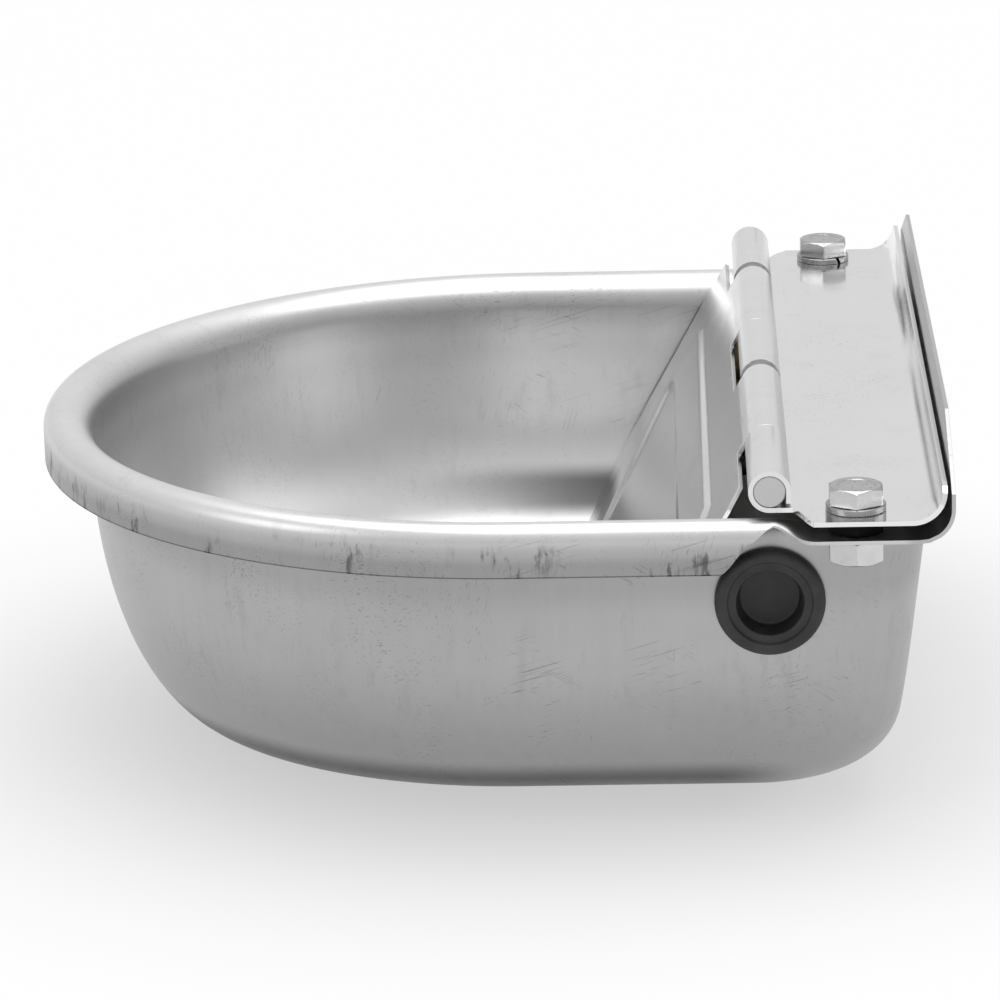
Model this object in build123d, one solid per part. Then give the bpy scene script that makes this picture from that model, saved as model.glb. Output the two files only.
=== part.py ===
"""Wall-hung drinking bowl with a hinged baffle and a float valve. Millimetres, +Z up.

Origin: on the flat underside, below the centre of the front rim's arc.
-X is the drinking side, +X the wall side. +Y is the side where the water comes in.
"""
import os
from math import atan, cos, degrees, radians, sin, sqrt, tan
from build123d import *

os.makedirs("parts", exist_ok=True)

# bowl shell
bowl_sheet = 1.0            # drawn stainless sheet
rim_reach = 127.0           # outside of the rolled rim: front reach and half width
crest_height = 87.0         # top of the rolled rim
bead_outer_radius = 4.5     # roll on the skirt side of the crest
bead_inner_radius = 8.6     # roll on the water side of the crest
bead_land = 1.0             # straight wall kept under the roll
skirt_drop = 12.9           # crest down to the skirt's lower edge
front_round_reach = 36.0    # the drawn curve below the front lip
front_round_height = 74.0
side_round_reach = 53.0     # the drawn curve below the sides
side_round_height = 50.0
back_reach = 103.6          # outside of the back wall at the flange
back_slope = 7.0            # degrees
back_round = 28.0
corner_radius = 20.0        # plan corners at the back
low_bands = 11              # steps of the drawn wall, up to the end of the side round
high_bands = 4              # bands of the wall from there to the rim

# flange and upstand
flange_height = 84.0        # top face of the side flange
flange_bend = 1.6           # bend between wall and flange, on the top face
flange_overhang = 5.0       # side flange beyond the rolled rim
skirt_end = 51.5            # where the skirt starts to be cut away
skirt_gone = 60.0           # where only the roll is left
roll_end = 65.0             # where the rim starts to flatten
flange_start = 76.0         # where the flange is flat
rim_edge_droop = 35.0       # degrees that the rim's edge droops past the crest at roll_end
flattening_steps = 4        # sections between the roll and the flat flange
upstand_set = 5.4           # rear face of the upstand behind the back wall
upstand_top = 108.0
upstand_bend = 7.5          # inside radius of the bend at the foot of the upstand
upstand_taper = 32.0        # length of each sloping end of the upstand
upstand_end_height = 95.5

# fixing holes
wall_hole_radius = 4.5
wall_hole_height = 71.0
wall_hole_half_spacing = 60.0

# hinge
hinge_x = 64.1
hinge_height = 94.2
pin_radius = 4.0
pin_clearance = 0.05
pin_chamfer = 0.4
panel_sheet = 1.2           # cover and baffle sheet
cover_knuckle = 41.0
barrel_inset = 10.5         # each end of the hinge barrel, in from the cover's side
knuckle_side_gap = 0.3
knuckle_play = 4.7          # baffle's knuckle shorter than the cover's slot
knuckle_clearance = 0.8     # sheet edges to a turning knuckle

# cover
cover_top = 89.5
cover_overhang = 2.0        # cover beyond the flange
cover_back_gap = 2.0        # rear face of the cover's back flange to the upstand's rear face
cover_back_height = 8.0     # back flange above the cover's top face
cover_bend = 7.4
cover_joggle_x = 71.0
cover_flat_x = 74.5
curl_tail = 3.0             # straight end of each curl, behind the pin
cover_corner = 5.0

# bolts
bolt_x = 85.1
bolt_inset = 11.0           # bolt from the cover's side
bolt_radius = 4.0
bolt_hole_radius = 4.5
bolt_head_flats = 13.0
bolt_head_height = 5.3
bolt_tip_height = 74.0
thread_clearance = 0.05
spring_washer_radius = 7.4
spring_washer_height = 2.0
spring_washer_bore = 4.2
spring_washer_split = 1.0
spring_washer_slant = 25.0  # degrees
nut_height = 6.5
hexagon_face = 0.96         # share of the flats left flat on top of a head or nut
bolt_tip_chamfer = 0.8

# baffle
baffle_tilt = 29.0          # degrees from vertical, foot forward
baffle_side_gap = 2.0
baffle_floor_gap = 2.0
baffle_notch = 5.5          # below the hinge axis, clear of the cover's knuckles
ear_gap = 3.9               # baffle's ears in from the bowl's wall
ear_chamfer_width = 3.0
ear_chamfer_drop = 10.0
press_height = 1.0          # each pressed step
press_slope = 1.2           # width of each step's sloping side
outer_press_top = 20.5      # outer pressing, down the sheet from the hinge axis
outer_press_top_inset = 24.0    # corners of the pressings, in from the ears
outer_press_wide = 42.0
outer_press_wide_inset = 11.0
outer_press_foot = 94.0
outer_press_foot_inset = 34.0
inner_press_top = 36.0      # inner pressing, set back within the outer one
inner_press_top_inset = 25.0
inner_press_foot = 89.0
inner_press_foot_inset = 50.0
press_corner = 4.0

# building
same_place = 0.01

# inlet and plug holes
inlet_height = 63.7
inlet_hole_radius = 10.7

# float valve
inlet_thread_radius = 10.478
inlet_tail_length = 20.5    # outside the bowl wall
inlet_pitch_radius = 9.9    # engaged thread, drawn at its pitch radius
inlet_bore_radius = 6.0
gasket_radius = 13.6
gasket_thickness = 2.0
valve_flange_thickness = 3.0
valve_barrel_radius = 9.0
valve_barrel_length = 36.0
lock_nut_flats = 27.0
lock_nut_height = 7.0
washer_radius = 13.6
washer_thickness = 1.5
seat_depth = 12.0           # seat's back face inside the flange
seat_thickness = 3.0
seat_bore_radius = 2.5
seat_lip_radius = 4.0
seat_lip_height = 1.5
guide_clearance = 0.05
valve_opening = 2.6         # seal to lip with the float down
seal_radius = 4.6
seal_thickness = 3.0
seal_proud = 0.5
outlet_width = 7.0
lever_drop = 11.5           # lever pivot below the valve axis
lever_reach = 10.0          # pivot outside the barrel's end
lug_gap = 8.0
lug_thickness = 3.0
lug_radius = 5.0
lug_side = 60.0             # degrees round the eye to each side of the lug
lug_root = 8.0              # length of a lug's root along the barrel
lug_root_half = 3.0
lug_shoulder = 4.0          # lug above the valve axis at the barrel's end
lug_waist = 2.0             # lug below the pivot at the barrel's end
lever_pin_radius = 2.0
lever_pin_head_radius = 3.4
lever_pin_head = 1.4
lever_pin_end = 2.0         # pin past its split pin
lever_side_gap = 0.3
heel_radius = 2.4
heel_web = 2.6
hub_radius = 4.6
float_drop = 12.0           # degrees below level at rest
arm_radius = 2.5
arm_length = 121.0
float_start = 46.0
float_length = 70.0
float_radius = 19.0
float_end_round = 9.0
float_nut_flats = 8.0
float_nut_height = 3.0
heel_gap = 0.3
cotter_radius = 0.7
cotter_eye = 2.0
cotter_leg = 5.0

# blanking plug
plug_flange_radius = 13.75
plug_flange_thickness = 3.0
plug_lip_radius = 12.0
plug_lip_thickness = 3.0
plug_cup_radius = 8.2
plug_wall = 1.8
plug_step_radius = 10.6
plug_step_depth = 0.8
plug_flange_edge = 1.2      # height of the flange's straight edge
plug_flange_round = 1.2     # sloping edge of the flange's face
plug_step_draft = 0.4
plug_cup_draft = 0.6
plug_lip_edge = 0.6         # inner lip's straight edge, then its taper
plug_lip_taper = 2.2

# worked out from the values above
wall_inside = rim_reach - bead_outer_radius - bead_inner_radius
wall_outside = wall_inside + bowl_sheet
crest_reach = rim_reach - bead_outer_radius
upstand_reach = back_reach + upstand_set
cover_back = upstand_reach - cover_back_gap
wall_top = crest_height - bead_inner_radius - bead_land
skirt_bottom = crest_height - skirt_drop
flange_under = flange_height - bowl_sheet
cover_under = cover_top - panel_sheet
knuckle_radius = pin_radius + pin_clearance + panel_sheet
flange_half_width = rim_reach + flange_overhang
upstand_flat_half = flange_half_width - upstand_taper
cover_half_width = flange_half_width + cover_overhang
barrel_half_length = cover_half_width - barrel_inset
bolt_half_spacing = cover_half_width - bolt_inset
cover_slot = (2 * barrel_half_length - 3 * cover_knuckle) / 2
baffle_knuckle = cover_slot - knuckle_play
ear_half_width = wall_inside - ear_gap
standing = (Align.CENTER, Align.CENTER, Align.MIN)
through = 100.0             # length of a cut right through a small part
hole_cut = 20.0             # length of a cut through one sheet


def mix(a, b, share):
    return a + (b - a) * share


def rod(radius, length):
    """Cylinder standing on z=0."""
    return Cylinder(radius, length, align=standing)


def smooth(share):
    return share * share * (3 - 2 * share)


def recess(reach, height, level):
    """How far a quarter-ellipse wall stands in at a level above the floor."""
    if level >= height:
        return 0.0
    rise = (height - level) / height
    return reach * (1 - sqrt(max(0.0, 1 - rise * rise)))


def plan_outline(level, inset):
    """D-shaped plan of the drawn wall at a level, moved in by inset."""
    above = level - max(inset, 0.0)
    deep = max(inset, 0.0)
    side = wall_outside - inset - recess(side_round_reach - deep, side_round_height - deep, above)
    front = wall_outside - inset - recess(front_round_reach - deep, front_round_height - deep, above)
    lean = tan(radians(back_slope)) * max(0.0, wall_top - level)
    back = back_reach - inset - lean - recess(back_round - deep, back_round - deep, above)
    corner = corner_radius - inset
    arc = EllipticalCenterArc((0, 0), front, side, start_angle=90, arc_size=180)
    near = Line((0, -side), (back - corner, -side))
    near_corner = CenterArc((back - corner, -side + corner), corner, -90, 90)
    rear = Line((back, -side + corner), (back, side - corner))
    far_corner = CenterArc((back - corner, side - corner), corner, 0, 90)
    far = Line((back - corner, side), (0, side))
    outline = make_face(Wire([arc, near, near_corner, rear, far_corner, far]))
    return Pos(0, 0, level) * outline


def drawn_body(inset):
    """Solid of the drawn bowl up to the rim, moved in by inset."""
    floor = max(inset, 0.0)
    bands = [0] + list(range(2, low_bands))  # the lowest is double, so the flat base has one clear edge
    levels = [mix(floor, side_round_height, (band / low_bands) ** 2) for band in bands]
    levels += [mix(side_round_height, wall_top, band / high_bands) for band in range(high_bands + 1)]
    return loft([plan_outline(level, inset) for level in levels], ruled=True)


def strip(parts, thickness):
    """Closed profile of a bent sheet. Each part of its centre line is a straight run
    (start, end) or a bend (centre, radius, start angle, angle turned)."""
    half = thickness / 2
    left = []
    right = []
    for part in parts:
        if len(part) == 2:
            start, end = Vector(part[0]), Vector(part[1])
            across = (end - start).normalized().rotate(Axis.Z, 90) * half
            left.append(Line(start + across, end + across))
            right.append(Line(start - across, end - across))
        else:
            centre, radius, start_angle, turned = part
            side = half if turned > 0 else -half
            left.append(CenterArc(centre, radius - side, start_angle, turned))
            right.append(CenterArc(centre, radius + side, start_angle, turned))
    ends = [Line(left[0] @ 0, right[0] @ 0), Line(left[-1] @ 1, right[-1] @ 1)]
    return make_face(Wire(left + right + ends))


def rim_profile():
    """Rolled rim in (reach, height), from the wall over the crest to the skirt."""
    centre = (crest_reach, crest_height - bead_inner_radius)
    outer_centre = (crest_reach, crest_height - bead_outer_radius)
    outer = [
        Line((wall_inside, wall_top), (wall_inside, centre[1])),
        CenterArc(centre, bead_inner_radius, 180, -90),
        CenterArc(outer_centre, bead_outer_radius, 90, -90),
        Line((rim_reach, outer_centre[1]), (rim_reach, skirt_bottom)),
        Line((rim_reach, skirt_bottom), (rim_reach - bowl_sheet, skirt_bottom)),
        Line((rim_reach - bowl_sheet, skirt_bottom), (rim_reach - bowl_sheet, outer_centre[1])),
        CenterArc(outer_centre, bead_outer_radius - bowl_sheet, 0, 90),
        CenterArc(centre, bead_inner_radius - bowl_sheet, 90, 90),
        Line((wall_outside, centre[1]), (wall_outside, wall_top)),
        Line((wall_outside, wall_top), (wall_inside, wall_top)),
    ]
    return make_face(Wire(outer))


def rim_tail(start, top, droop, length):
    """Outer face, edge and inner face of the tail that runs out from the crest."""
    if droop == 0:
        end = start + length
        low = top - bowl_sheet
        return [
            Line((start, top), (end, top)),
            Line((end, top), (end, low)),
            Line((end, low), (start, low)),
        ]
    turn = length / radians(droop)

    def point(part, drop):
        angle = radians(droop * part)
        return (start + (turn - drop) * sin(angle), top - turn + (turn - drop) * cos(angle))

    return [
        ThreePointArc(point(0, 0), point(0.5, 0), point(1, 0)),
        Line(point(1, 0), point(1, bowl_sheet)),
        ThreePointArc(point(1, bowl_sheet), point(0.5, bowl_sheet), point(0, bowl_sheet)),
    ]


def flattening_section(x, bend, top, droop, length):
    """Rim section at x: wall, bend up to the crest, and a tail that droops to the edge."""
    centre = (wall_inside + bend, top - bend)
    outline = [
        Line((wall_inside, wall_top), (wall_inside, centre[1])),
        CenterArc(centre, bend, 180, -90),
        *rim_tail(centre[0], top, droop, length),
        CenterArc(centre, bend - bowl_sheet, 90, 90),
        Line((wall_outside, centre[1]), (wall_outside, wall_top)),
        Line((wall_outside, wall_top), (wall_inside, wall_top)),
    ]
    plane = Plane(origin=(x, 0, 0), x_dir=(0, 1, 0), z_dir=(1, 0, 0))
    return plane * make_face(Wire(outline))


def rolled_rim():
    """Front half ring and two straight sides, with the skirt ends cut in a curve."""
    upright = Plane.XZ * rim_profile()
    front = revolve(upright.rotate(Axis.Z, 90), Axis.Z, 180)
    side_plane = Plane(origin=(0, 0, 0), x_dir=(0, 1, 0), z_dir=(1, 0, 0))
    side = extrude(side_plane * rim_profile(), skirt_gone)
    roll_height = crest_height - bead_outer_radius
    below = skirt_bottom - 1
    cut_line = Spline(
        (skirt_end, skirt_bottom),
        (skirt_gone, roll_height),
        tangents=[(1, 0.2), (1, 0.8)],
    )
    waste = [
        cut_line,
        Line((skirt_gone, roll_height), (skirt_gone + 1, roll_height)),
        Line((skirt_gone + 1, roll_height), (skirt_gone + 1, below)),
        Line((skirt_gone + 1, below), (skirt_end, below)),
        Line((skirt_end, below), (skirt_end, skirt_bottom)),
    ]
    cutter = Plane.XZ * make_face(Wire(waste))
    cutter = Pos(0, rim_reach + 1, 0) * extrude(cutter, bead_outer_radius)
    far = side - cutter
    return front + far + mirror(far, Plane.XZ)


def rim_flattening():
    """Both stretches where the edge rises and the roll opens out into the flat flange."""
    flat = flange_half_width - wall_inside - flange_bend
    sections = []
    for share in (0, 0.5):
        x = mix(skirt_gone, roll_end, share)
        droop = mix(90, rim_edge_droop, share)
        length = bead_outer_radius * radians(droop)
        sections.append(flattening_section(x, bead_inner_radius, crest_height, droop, length))
    last_length = bead_outer_radius * radians(rim_edge_droop)
    for step in range(flattening_steps + 1):
        share = step / flattening_steps
        soft = smooth(share)
        sections.append(flattening_section(
            mix(roll_end, flange_start, share),
            mix(bead_inner_radius, flange_bend, soft),
            mix(crest_height, flange_height, soft),
            mix(rim_edge_droop, 0, soft),
            mix(last_length, flat, soft),
        ))
    far = loft(sections)
    return far + mirror(far, Plane.XZ)


def room_above_sheet():
    """Everything over the flange's top face and in front of the upstand's front face."""
    face_x = upstand_reach - bowl_sheet
    bend_x = face_x - upstand_bend
    high = 2 * upstand_top
    section = make_face(Wire([
        Line((0, flange_height), (bend_x, flange_height)),
        CenterArc((bend_x, flange_height + upstand_bend), upstand_bend, -90, 90),
        Line((face_x, flange_height + upstand_bend), (face_x, high)),
        Line((face_x, high), (0, high)),
        Line((0, high), (0, flange_height)),
    ]))
    return Pos(0, rim_reach, 0) * extrude(Plane.XZ * section, 2 * rim_reach)


def edges_over(shape, outline):
    """Edges of the shape round the mouth that stand right over or under an outline."""
    found = []
    for edge in shape.edges():
        middle = edge @ 0.5
        flat_middle = Vertex(middle.X, middle.Y, 0)
        high = middle.Z > flange_under - same_place
        if high and outline.distance_to(flat_middle) < same_place:
            found.append(edge)
    return found


def rear_sheet():
    """Flat flange and upstand bent from one sheet, running down into the wall round the mouth."""
    half_sheet = bowl_sheet / 2
    middle = flange_height - half_sheet
    bend = upstand_bend + half_sheet
    face_x = upstand_reach - half_sheet
    line = [
        ((flange_start, middle), (face_x - bend, middle)),
        ((face_x - bend, middle + bend), bend, -90, 90),
        ((face_x, middle + bend), (face_x, upstand_top)),
    ]
    profile = Plane.XZ * strip(line, bowl_sheet)
    sheet = Pos(0, flange_half_width, 0) * extrude(profile, 2 * flange_half_width)
    mouth = plan_outline(wall_top, bowl_sheet)
    wall = extrude(plan_outline(wall_top, 0) - mouth, upstand_top - wall_top)
    wall &= Pos(flange_start + rim_reach, 0, 0) * Box(2 * rim_reach, 2 * rim_reach, 3 * upstand_top)
    wall -= room_above_sheet()
    sheet = sheet - extrude(mouth, upstand_top) + wall
    inside = Pos(0, 0, -wall_top) * mouth.face().outer_wire()
    outside = Pos(0, 0, -wall_top) * plan_outline(wall_top, 0).face().outer_wire()
    sheet = fillet(edges_over(sheet, outside), flange_bend - bowl_sheet)
    sheet = fillet(edges_over(sheet, inside), flange_bend)
    corner = make_face(Polyline(
        (upstand_flat_half, upstand_top + 1),
        (flange_half_width + 1, upstand_top + 1),
        (flange_half_width + 1, upstand_end_height),
        (upstand_flat_half, upstand_top),
        close=True,
    ))
    corner_plane = Plane(origin=(upstand_reach - upstand_bend, 0, 0), x_dir=(0, 1, 0), z_dir=(1, 0, 0))
    corner_cut = extrude(corner_plane * corner, 2 * upstand_bend)
    return sheet - corner_cut - mirror(corner_cut, Plane.XZ)


def bowl_shell():
    """Drawn floor and wall, up to the foot of the rolled rim."""
    shell = drawn_body(0) - drawn_body(bowl_sheet)
    for side in (-1, 1):
        side_hole = Rot(90, 0, 0) * Cylinder(inlet_hole_radius, hole_cut)
        shell -= Pos(hinge_x, side * wall_outside, inlet_height) * side_hole
        wall_hole = Rot(0, 90, 0) * Cylinder(wall_hole_radius, hole_cut)
        shell -= Pos(back_reach, side * wall_hole_half_spacing, wall_hole_height) * wall_hole
    return shell


def rim_and_flange():
    """The same sheet above the wall: rolled rim, side flanges, rear flange and upstand."""
    rim = rolled_rim() + rim_flattening() + rear_sheet()
    for side in (-1, 1):
        bolt_hole = Cylinder(bolt_hole_radius, hole_cut)
        rim -= Pos(bolt_x, side * bolt_half_spacing, flange_height) * bolt_hole
    return rim


def hexagon(flats, height, bore=0.0):
    """Hexagon standing on z=0, corners towards +-Y, with its top corners turned to a cone."""
    body = extrude(RegularPolygon(flats / 2, 6, major_radius=False, rotation=30), height)
    corner = flats / 2 / cos(radians(30))
    cone_height = (corner - flats / 2 * hexagon_face) * tan(radians(30))
    cap = height - cone_height
    bound = rod(corner, cap)
    bound += Pos(0, 0, cap) * Cone(corner, flats / 2 * hexagon_face, cone_height, align=standing)
    body = body & bound
    if bore:
        body -= Cylinder(bore, through)
    return body


def ring(outer, inner, thickness):
    """Washer standing on z=0."""
    return rod(outer, thickness) - Cylinder(inner, through)


def both_sides(shape):
    """The shape at +Y and its copy at -Y."""
    return Compound(children=[shape, mirror(shape, Plane.XZ)])


def knuckle_line(tail_height):
    """Centre line of a curl: round the front and over the pin, and down behind it."""
    radius = pin_radius + pin_clearance + panel_sheet / 2
    back = hinge_x + radius
    return radius, [
        ((hinge_x, hinge_height), radius, -90, -270),
        ((back, hinge_height), (back, hinge_height - tail_height)),
    ]


def cover_plate():
    """Folded cover: flat plate, back flange and three knuckles curled round the pin."""
    half = panel_sheet / 2
    middle = cover_top - half
    radius, curl = knuckle_line(curl_tail)
    curl_bottom = hinge_height - radius
    step = curl_bottom - middle
    run = cover_flat_x - cover_joggle_x
    step_angle = degrees(2 * atan(step / run))
    step_radius = run / 2 / sin(radians(step_angle))
    back_face = cover_back - half
    bend = cover_bend + half
    profile = curl + [
        ((hinge_x, curl_bottom), (cover_joggle_x, curl_bottom)),
        ((cover_joggle_x, curl_bottom - step_radius), step_radius, 90, -step_angle),
        ((cover_flat_x, middle + step_radius), step_radius, 270 - step_angle, step_angle),
        ((cover_flat_x, middle), (back_face - bend, middle)),
        ((back_face - bend, middle + bend), bend, -90, 90),
        ((back_face, middle + bend), (back_face, cover_top + cover_back_height)),
    ]
    curl_face = Plane.XZ * strip(profile[:2], panel_sheet)
    plate_face = Plane.XZ * strip(profile[2:], panel_sheet)
    barrel = 2 * barrel_half_length
    curls = Pos(0, barrel_half_length, 0) * extrude(curl_face, barrel)
    plate = Pos(0, cover_half_width, 0) * extrude(plate_face, 2 * cover_half_width)
    cover = plate + curls
    reach = knuckle_radius + knuckle_clearance
    deep = 4 * reach
    for side in (-1, 1):
        centre = side * (cover_knuckle + cover_slot) / 2
        slot = Box(2 * reach, cover_slot, deep)
        cover -= Pos(hinge_x, centre, hinge_height) * slot
        end = make_face(Polyline(
            (hinge_x - 2 * reach, barrel_half_length),
            (hinge_x + reach, barrel_half_length),
            (cover_flat_x, cover_half_width),
            (cover_flat_x, cover_half_width + 1),
            (hinge_x - 2 * reach, cover_half_width + 1),
            close=True,
        ))
        end_cut = Pos(0, 0, cover_under - reach) * extrude(end, deep)
        cover -= end_cut if side > 0 else mirror(end_cut, Plane.XZ)
        hole = Cylinder(bolt_hole_radius, hole_cut)
        cover -= Pos(bolt_x, side * bolt_half_spacing, cover_top) * hole
    top = cover_top + cover_back_height
    corner = make_face(Wire([
        Line((cover_half_width - cover_corner, top), (cover_half_width - cover_corner, top + 2)),
        Line((cover_half_width - cover_corner, top + 2), (cover_half_width + 2, top + 2)),
        Line((cover_half_width + 2, top + 2), (cover_half_width + 2, top - cover_corner)),
        Line((cover_half_width + 2, top - cover_corner), (cover_half_width, top - cover_corner)),
        CenterArc((cover_half_width - cover_corner, top - cover_corner), cover_corner, 0, 90),
    ]))
    corner_plane = Plane(origin=(cover_back - cover_bend, 0, 0), x_dir=(0, 1, 0), z_dir=(1, 0, 0))
    corner_cut = extrude(corner_plane * corner, 2 * cover_bend)
    return cover - corner_cut - mirror(corner_cut, Plane.XZ)


def baffle_plane():
    """Plane of the hinge axis: local X along +Y, local Y up the sheet, normal to the front."""
    tilt = radians(baffle_tilt)
    normal = (-cos(tilt), 0, sin(tilt))
    return Plane(origin=(hinge_x, 0, hinge_height), x_dir=(0, -1, 0), z_dir=normal)


def pressing(outline, face, rise):
    """Tapered block from below a face of the sheet to a pressed step above it."""
    plane = baffle_plane()
    wide = offset(outline, press_slope)
    return loft([plane.offset(face) * wide, plane.offset(face + rise) * outline])


def pressing_down(outline, face, depth):
    """The same the other way: from a face of the sheet to a step behind it."""
    plane = baffle_plane()
    wide = offset(outline, press_slope)
    return loft([plane.offset(face) * wide, plane.offset(face - depth) * outline])


def press_outline(corners):
    """Symmetric closed outline in the baffle's plane, from (half width, drop) pairs."""
    right = [(half, -drop) for half, drop in corners]
    left = [(-half, -drop) for half, drop in reversed(corners)]
    shape = make_face(Polyline(*right, *left, close=True))
    return fillet(shape.vertices(), press_corner)


def baffle_plate():
    """Hinged guard: flat sheet inside the bowl with two knuckles and pressed stiffeners."""
    plane = baffle_plane()
    face = knuckle_radius
    sheet_length = hinge_height / cos(radians(baffle_tilt)) + 20
    blank = make_face(Polyline(
        (-ear_half_width, -baffle_notch),
        (ear_half_width, -baffle_notch),
        (ear_half_width + ear_chamfer_width, -baffle_notch - ear_chamfer_drop),
        (ear_half_width + ear_chamfer_width, -sheet_length),
        (-ear_half_width - ear_chamfer_width, -sheet_length),
        (-ear_half_width - ear_chamfer_width, -baffle_notch - ear_chamfer_drop),
        close=True,
    ))
    sheet = plane.offset(face - panel_sheet) * blank
    sheet = extrude(sheet, panel_sheet)
    room = drawn_body(bowl_sheet + baffle_side_gap)
    mouth = plan_outline(wall_top, bowl_sheet + baffle_side_gap)
    room += extrude(mouth, hinge_height - wall_top)
    floor_height = bowl_sheet + baffle_floor_gap
    sheet = sheet & room
    sheet -= Pos(0, 0, floor_height - 50) * Box(500, 500, 100)
    outer = press_outline([
        (ear_half_width - outer_press_top_inset, outer_press_top),
        (ear_half_width - outer_press_wide_inset, outer_press_wide),
        (ear_half_width - outer_press_foot_inset, outer_press_foot),
    ])
    inner = press_outline([
        (ear_half_width - inner_press_top_inset, inner_press_top),
        (ear_half_width - inner_press_foot_inset, inner_press_foot),
    ])
    back = face - panel_sheet
    sheet = sheet + pressing(outer, face, press_height) - pressing(outer, back, press_height)
    raised = face + press_height
    sheet -= pressing_down(inner, raised, press_height)
    sheet += pressing_down(inner, raised - panel_sheet, press_height) & room
    radius = pin_radius + pin_clearance + panel_sheet / 2
    curl_line = [
        ((-radius, -baffle_notch - 1), (-radius, 0)),
        ((0, 0), radius, 180, -270),
    ]
    curl_face = strip(curl_line, panel_sheet)
    tilt = radians(baffle_tilt)
    curl_plane = Plane(origin=(hinge_x, 0, hinge_height), x_dir=(cos(tilt), 0, -sin(tilt)), z_dir=(0, -1, 0))
    curl = extrude(curl_plane * curl_face, baffle_knuckle)
    slot_start = cover_knuckle / 2
    first = slot_start + knuckle_side_gap + baffle_knuckle
    second = -slot_start - cover_slot + knuckle_side_gap + baffle_knuckle
    return sheet + Pos(0, first, 0) * curl + Pos(0, second, 0) * curl


def hinge_pin():
    pin = Cylinder(pin_radius, 2 * barrel_half_length)
    pin = chamfer(pin.edges().filter_by(GeomType.CIRCLE), pin_chamfer)
    return Pos(hinge_x, 0, hinge_height) * Rot(90, 0, 0) * pin


def cover_bolt():
    head = hexagon(bolt_head_flats, bolt_head_height)
    seat = cover_top + spring_washer_height
    shank = Pos(0, 0, (bolt_tip_height - seat) / 2) * Cylinder(bolt_radius, seat - bolt_tip_height)
    shank = chamfer(shank.edges().filter_by(GeomType.CIRCLE).sort_by(Axis.Z)[0], bolt_tip_chamfer)
    return Pos(bolt_x, bolt_half_spacing, seat) * (head + shank)


def spring_washer():
    coil = ring(spring_washer_radius, spring_washer_bore, spring_washer_height)
    slit = Box(2 * spring_washer_radius, spring_washer_split, 4 * spring_washer_height)
    split = Pos(spring_washer_radius, 0, 0) * Rot(spring_washer_slant, 0, 0) * slit
    return Pos(bolt_x, bolt_half_spacing, cover_top) * (coil - split)


def bolt_nut(height):
    return hexagon(bolt_head_flats, height, bolt_radius + thread_clearance)


def along_inlet(shape, start):
    """Turn a shape that stands on z=0 to run inwards from y=start on the inlet axis."""
    return Pos(hinge_x, start, inlet_height) * Rot(90, 0, 0) * shape


flange_face = wall_inside - gasket_thickness
barrel_start = flange_face - valve_flange_thickness
barrel_end = barrel_start - valve_barrel_length
tail_end = wall_outside + inlet_tail_length
pivot_y = barrel_end - lever_reach
pivot_z = inlet_height - lever_drop
seat_front = barrel_start - seat_depth - seat_thickness
lip_face = seat_front - seat_lip_height
seal_face = lip_face - valve_opening
plunger_front = seal_face - seal_proud
heel_lean = radians(float_drop / 2)
heel_y = pivot_y - lever_drop * sin(heel_lean)
plunger_back = heel_y + heel_radius + heel_gap


def valve_body():
    """Threaded tail, flange, barrel with its bore and outlets, and the lever's lugs."""
    nut_face = wall_outside + washer_thickness + lock_nut_height
    tail = along_inlet(rod(inlet_thread_radius, tail_end - nut_face), tail_end)
    tail += along_inlet(rod(inlet_pitch_radius, nut_face - barrel_start), nut_face)
    flange = along_inlet(rod(gasket_radius, valve_flange_thickness), flange_face)
    barrel = along_inlet(rod(valve_barrel_radius, valve_barrel_length + 1), barrel_start + 1)
    lug_length = barrel_end + lug_root - pivot_y
    across = lug_radius * cos(radians(lug_side))
    beside = lug_radius * sin(radians(lug_side))
    lugs = None
    for side in (-1, 1):
        x = side * (lug_gap + lug_thickness) / 2
        eye = Pos(hinge_x + x, pivot_y, pivot_z) * Rot(0, 90, 0) * Cylinder(lug_radius, lug_thickness)
        arm = make_face(Polyline(
            (pivot_y - across, pivot_z + beside),
            (pivot_y + across, pivot_z - beside),
            (barrel_end, pivot_z - lug_waist),
            (barrel_end + lug_root, inlet_height - lug_root_half),
            (barrel_end + lug_root, inlet_height + lug_root_half),
            (barrel_end, inlet_height + lug_shoulder),
            close=True,
        ))
        arm_plane = Plane(origin=(hinge_x + x - lug_thickness / 2, 0, 0), x_dir=(0, 1, 0), z_dir=(1, 0, 0))
        lug = eye + extrude(arm_plane * arm, lug_thickness)
        lugs = lug if lugs is None else lugs + lug
    body = tail + flange + barrel + lugs
    bore_length = tail_end - barrel_end + 2 * lug_length
    body -= along_inlet(rod(inlet_bore_radius, bore_length), tail_end + 1)
    outlet = Box(outlet_width, outlet_width, 4 * valve_barrel_radius)
    body -= Pos(hinge_x, seat_front - outlet_width / 2, inlet_height) * outlet
    pin_hole = Rot(0, 90, 0) * Cylinder(lever_pin_radius + pin_clearance, through)
    return body - Pos(hinge_x, pivot_y, pivot_z) * pin_hole


def valve_seat():
    seat = rod(inlet_bore_radius, seat_thickness)
    lip = Pos(0, 0, seat_thickness) * rod(seat_lip_radius, seat_lip_height)
    nozzle = seat + lip - Cylinder(seat_bore_radius, through)
    return along_inlet(nozzle, seat_front + seat_thickness)


def plunger():
    length = plunger_front - plunger_back
    body = rod(inlet_bore_radius - guide_clearance, length)
    pocket = rod(seal_radius, seal_thickness - seal_proud)
    body -= pocket
    return along_inlet(body, plunger_front)


def plunger_seal():
    return along_inlet(rod(seal_radius, seal_thickness), seal_face)


def at_lever(shape):
    """Place a lever part, drawn level with its pivot at the origin, at its rest slope."""
    return Pos(hinge_x, pivot_y, pivot_z) * Rot(float_drop, 0, 0) * shape


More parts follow.
